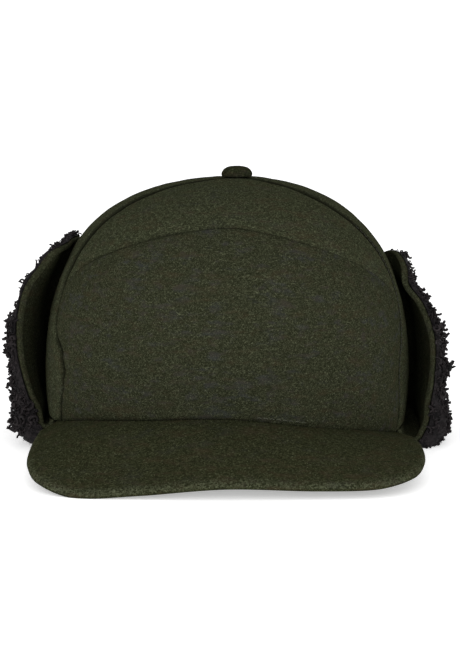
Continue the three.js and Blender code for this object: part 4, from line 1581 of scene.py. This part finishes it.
@dataclass
class Stitching:
    """Runs of lockstitches along lines on the crown, made by a geometry tree."""

    form: CrownForm
    maker: Maker
    pitch: float = 2.9
    length: float = 2.0
    thickness: float = 0.34
    bulge: float = 0.3
    from_seam: float = 1.5
    over_rim: float = 0.016
    share_scale: float = 300.0
    steps: int = 160

    def line(self, azimuths: Sequence[float], shares: Sequence[float], proud: float) -> Array:
        """Dense points of a smooth line over the crown.

        Args:
            azimuths: degrees from the front of the line's places.
            shares: their shares of the way up.
            proud: how far the line stands out of the face, in millimetres.

        Returns:
            The line's points.
        """
        places = np.stack([np.array(azimuths, float), np.array(shares, float) * self.share_scale], axis=-1)
        spread = np.broadcast_to(places, (self.steps, *places.shape))
        dense = curve_through(spread, np.linspace(0, 1, self.steps))
        azimuth, share = dense[:, 0], dense[:, 1] / self.share_scale
        return self.form.point(azimuth, share) + self.form.normal(azimuth, share) * proud

    def stitch(self, tree: Tree, entry: bpy.types.Node) -> Socket:
        """Makes one stitch: thread that comes up, arches over the cloth and goes down."""
        rise = self.bulge * MM
        ends = []
        for half in (-0.5, 0.5):
            reach = maths(tree, "MULTIPLY", entry.outputs["Stitch length"], half)
            ends.append(result(tree, "ShaderNodeCombineXYZ", {"X": reach, "Z": -rise}))
        crest = result(tree, "ShaderNodeCombineXYZ", {"Z": rise})
        points = {"Resolution": 6, "Start": ends[0], "Middle": crest, "End": ends[1]}
        arc = result(tree, "GeometryNodeCurveQuadraticBezier", points)
        return tube_along(tree, arc, 6, entry.outputs["Thread radius"])

    def sew(self, name: str, points: Array, thread: SewingThread) -> Piece:
        """Sews stitches along points.

        Args:
            name: the stitches' name.
            points: the line, in the crown frame's millimetres.
            thread: the thread that they are made of.

        Returns:
            The stitches as one plain mesh object.
        """
        sizes = {
            "Pitch": self.pitch * MM,
            "Stitch length": self.length * MM,
            "Thread radius": self.thickness / 2 * MM,
        }
        growing = GrowingTree("lockstitches", sizes)
        tree, entry = growing.start()
        curve = result(tree, "GeometryNodeMeshToCurve", {0: entry.outputs["Geometry"]})
        pitch = {"Curve": curve, "Length": entry.outputs["Pitch"]}
        spaced = result(tree, "GeometryNodeResampleCurve", pitch, mode="LENGTH")
        stitch = self.stitch(tree, entry)
        way = {"Vector": result(tree, "GeometryNodeInputTangent")}
        turned = result(tree, "FunctionNodeAlignRotationToVector", way, axis="X", pivot_axis="AUTO")
        plant = {"Points": spaced, "Instance": stitch, "Rotation": turned}
        planted = result(tree, "GeometryNodeInstanceOnPoints", plant)
        growing.finish(tree, planted, thread.material())
        made = growing.grow(tree, self.maker.line(f"{name}_line", points), name)
        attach(made, BODY)
        LOG.info("%s: %d faces", made.name, len(made.data.polygons))
        return made

    def build(self) -> None:
        """Sews the runs that show beside the right seam and above the peak."""
        shares = np.linspace(0.1, 0.6, 14)
        inside = self.form.front_seam(Side.RIGHT, shares) - self.from_seam
        self.sew("seam_stitches", self.line(inside, shares, -0.1), SewingThread("olive_thread"))
        azimuths = np.linspace(9, 21, 9)
        low = self.line(azimuths, np.full_like(azimuths, self.over_rim), -0.12)
        self.sew("peak_stitches", low, SewingThread("worn_thread", "#5a5c4c"))


# The studio


@dataclass
class Studio:
    """Pale floor, white surroundings, soft lights and the camera at the photograph's angle."""

    frame: CapFrame
    target: tuple[float, float, float] = (0.0, -25.0, 55.3)
    distance: float = 1250.0
    elevation: float = 8.6
    focal_px: float = 2554.0
    image_height: int = 664
    sensor_width: float = 36.0
    floor_size: float = 60.0
    lit_point: tuple[float, float, float] = (0.0, 0.0, 60.0)

    def build(self) -> None:
        """Makes the studio."""
        self.floor()
        self.lights()
        self.camera()
        scene = bpy.context.scene
        scene.view_settings.view_transform = "Standard"
        scene.view_settings.look = "None"

    def floor(self) -> None:
        """Lays a wide, pale, matt floor."""
        data = bpy.data.meshes.new("floor")
        form = bmesh.new()
        bmesh.ops.create_grid(form, x_segments=2, y_segments=2, size=self.floor_size)
        form.to_mesh(data)
        form.free()
        floor = link("floor", data)
        material, tree = new_material("pale_floor_paint")
        glow = {"Emission Color": linear("#ffffff"), "Emission Strength": 0.4}
        matt = {"Base Color": linear("#fbfbfb"), "Roughness": 1.0, "Specular IOR Level": 0.0}
        end_material(tree, {**matt, **glow})
        floor.data.materials.append(material)

    def lights(self) -> None:
        """Hangs a wide front light in white surroundings that are dimmer overhead."""
        world = bpy.data.worlds.new("white_studio")
        world.use_nodes = True
        tree = world.node_tree
        tree.nodes.clear()
        way = add_node(tree, "ShaderNodeTexCoord").outputs["Generated"]
        rise = add_node(tree, "ShaderNodeSeparateXYZ", {0: way}).outputs["Z"]
        dimmed = spread_range(tree, rise, (0.0, 0.9), (1.05, 0.82))
        sky = result(tree, "ShaderNodeBackground", {"Color": (1, 1, 1, 1), "Strength": dimmed})
        add_node(tree, "ShaderNodeOutputWorld", {"Surface": sky})
        bpy.context.scene.world = world
        self.light("front_light", (-90, -1700, 330), 1300, 18.2)

    def light(self, name: str, place: tuple[float, float, float], size: float, power: float) -> None:
        """Hangs one square area light that looks at the cap."""
        data = bpy.data.lights.new(name, "AREA")
        data.energy, data.size = power, size * MM
        lamp = link(name, data)
        lamp.location = Vector(self.frame.metres(np.array(place)))
        aim = Vector(self.frame.metres(np.array(self.lit_point))) - lamp.location
        lamp.rotation_euler = aim.to_track_quat("-Z", "Y").to_euler()

    def camera(self) -> None:
        """Stands the camera where the photograph was taken from."""
        data = bpy.data.cameras.new("camera")
        data.sensor_width = self.sensor_width
        data.lens = self.focal_px / self.image_height * data.sensor_width
        data.clip_start, data.clip_end = 0.05, 200.0
        camera = link("camera", data)
        rise = math.radians(self.elevation)
        away = np.array([0.0, -math.cos(rise), math.sin(rise)]) * self.distance
        camera.location = Vector(self.frame.metres(np.array(self.target) + away))
        camera.rotation_euler = (math.pi / 2 - rise, 0.0, 0.0)
        bpy.context.scene.camera = camera


def main() -> None:
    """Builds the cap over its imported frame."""
    logging.basicConfig(level=logging.INFO, format="%(message)s")
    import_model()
    form = CrownForm()
    frame = CapFrame.from_button(form.apex_shift)
    maker = Maker(frame)
    Studio(frame).build()
    Crown(form, maker).build()
    TopButton(form, maker).build()
    Peak(form, maker).build()
    fleece = SherpaFleece("sherpa_fleece").material()
    wool = MeltonWool("melton_flaps", dark="#1f2116", ground="#303224", light="#494c3a", grey_amount=0.2)
    for side in Side:
        EarFlap(side, FlapForm(form), maker, fleece, wool, tufts=TUFTS[side]).build()
    Stitching(form, maker).build()


if __name__ == "__main__":
    main()
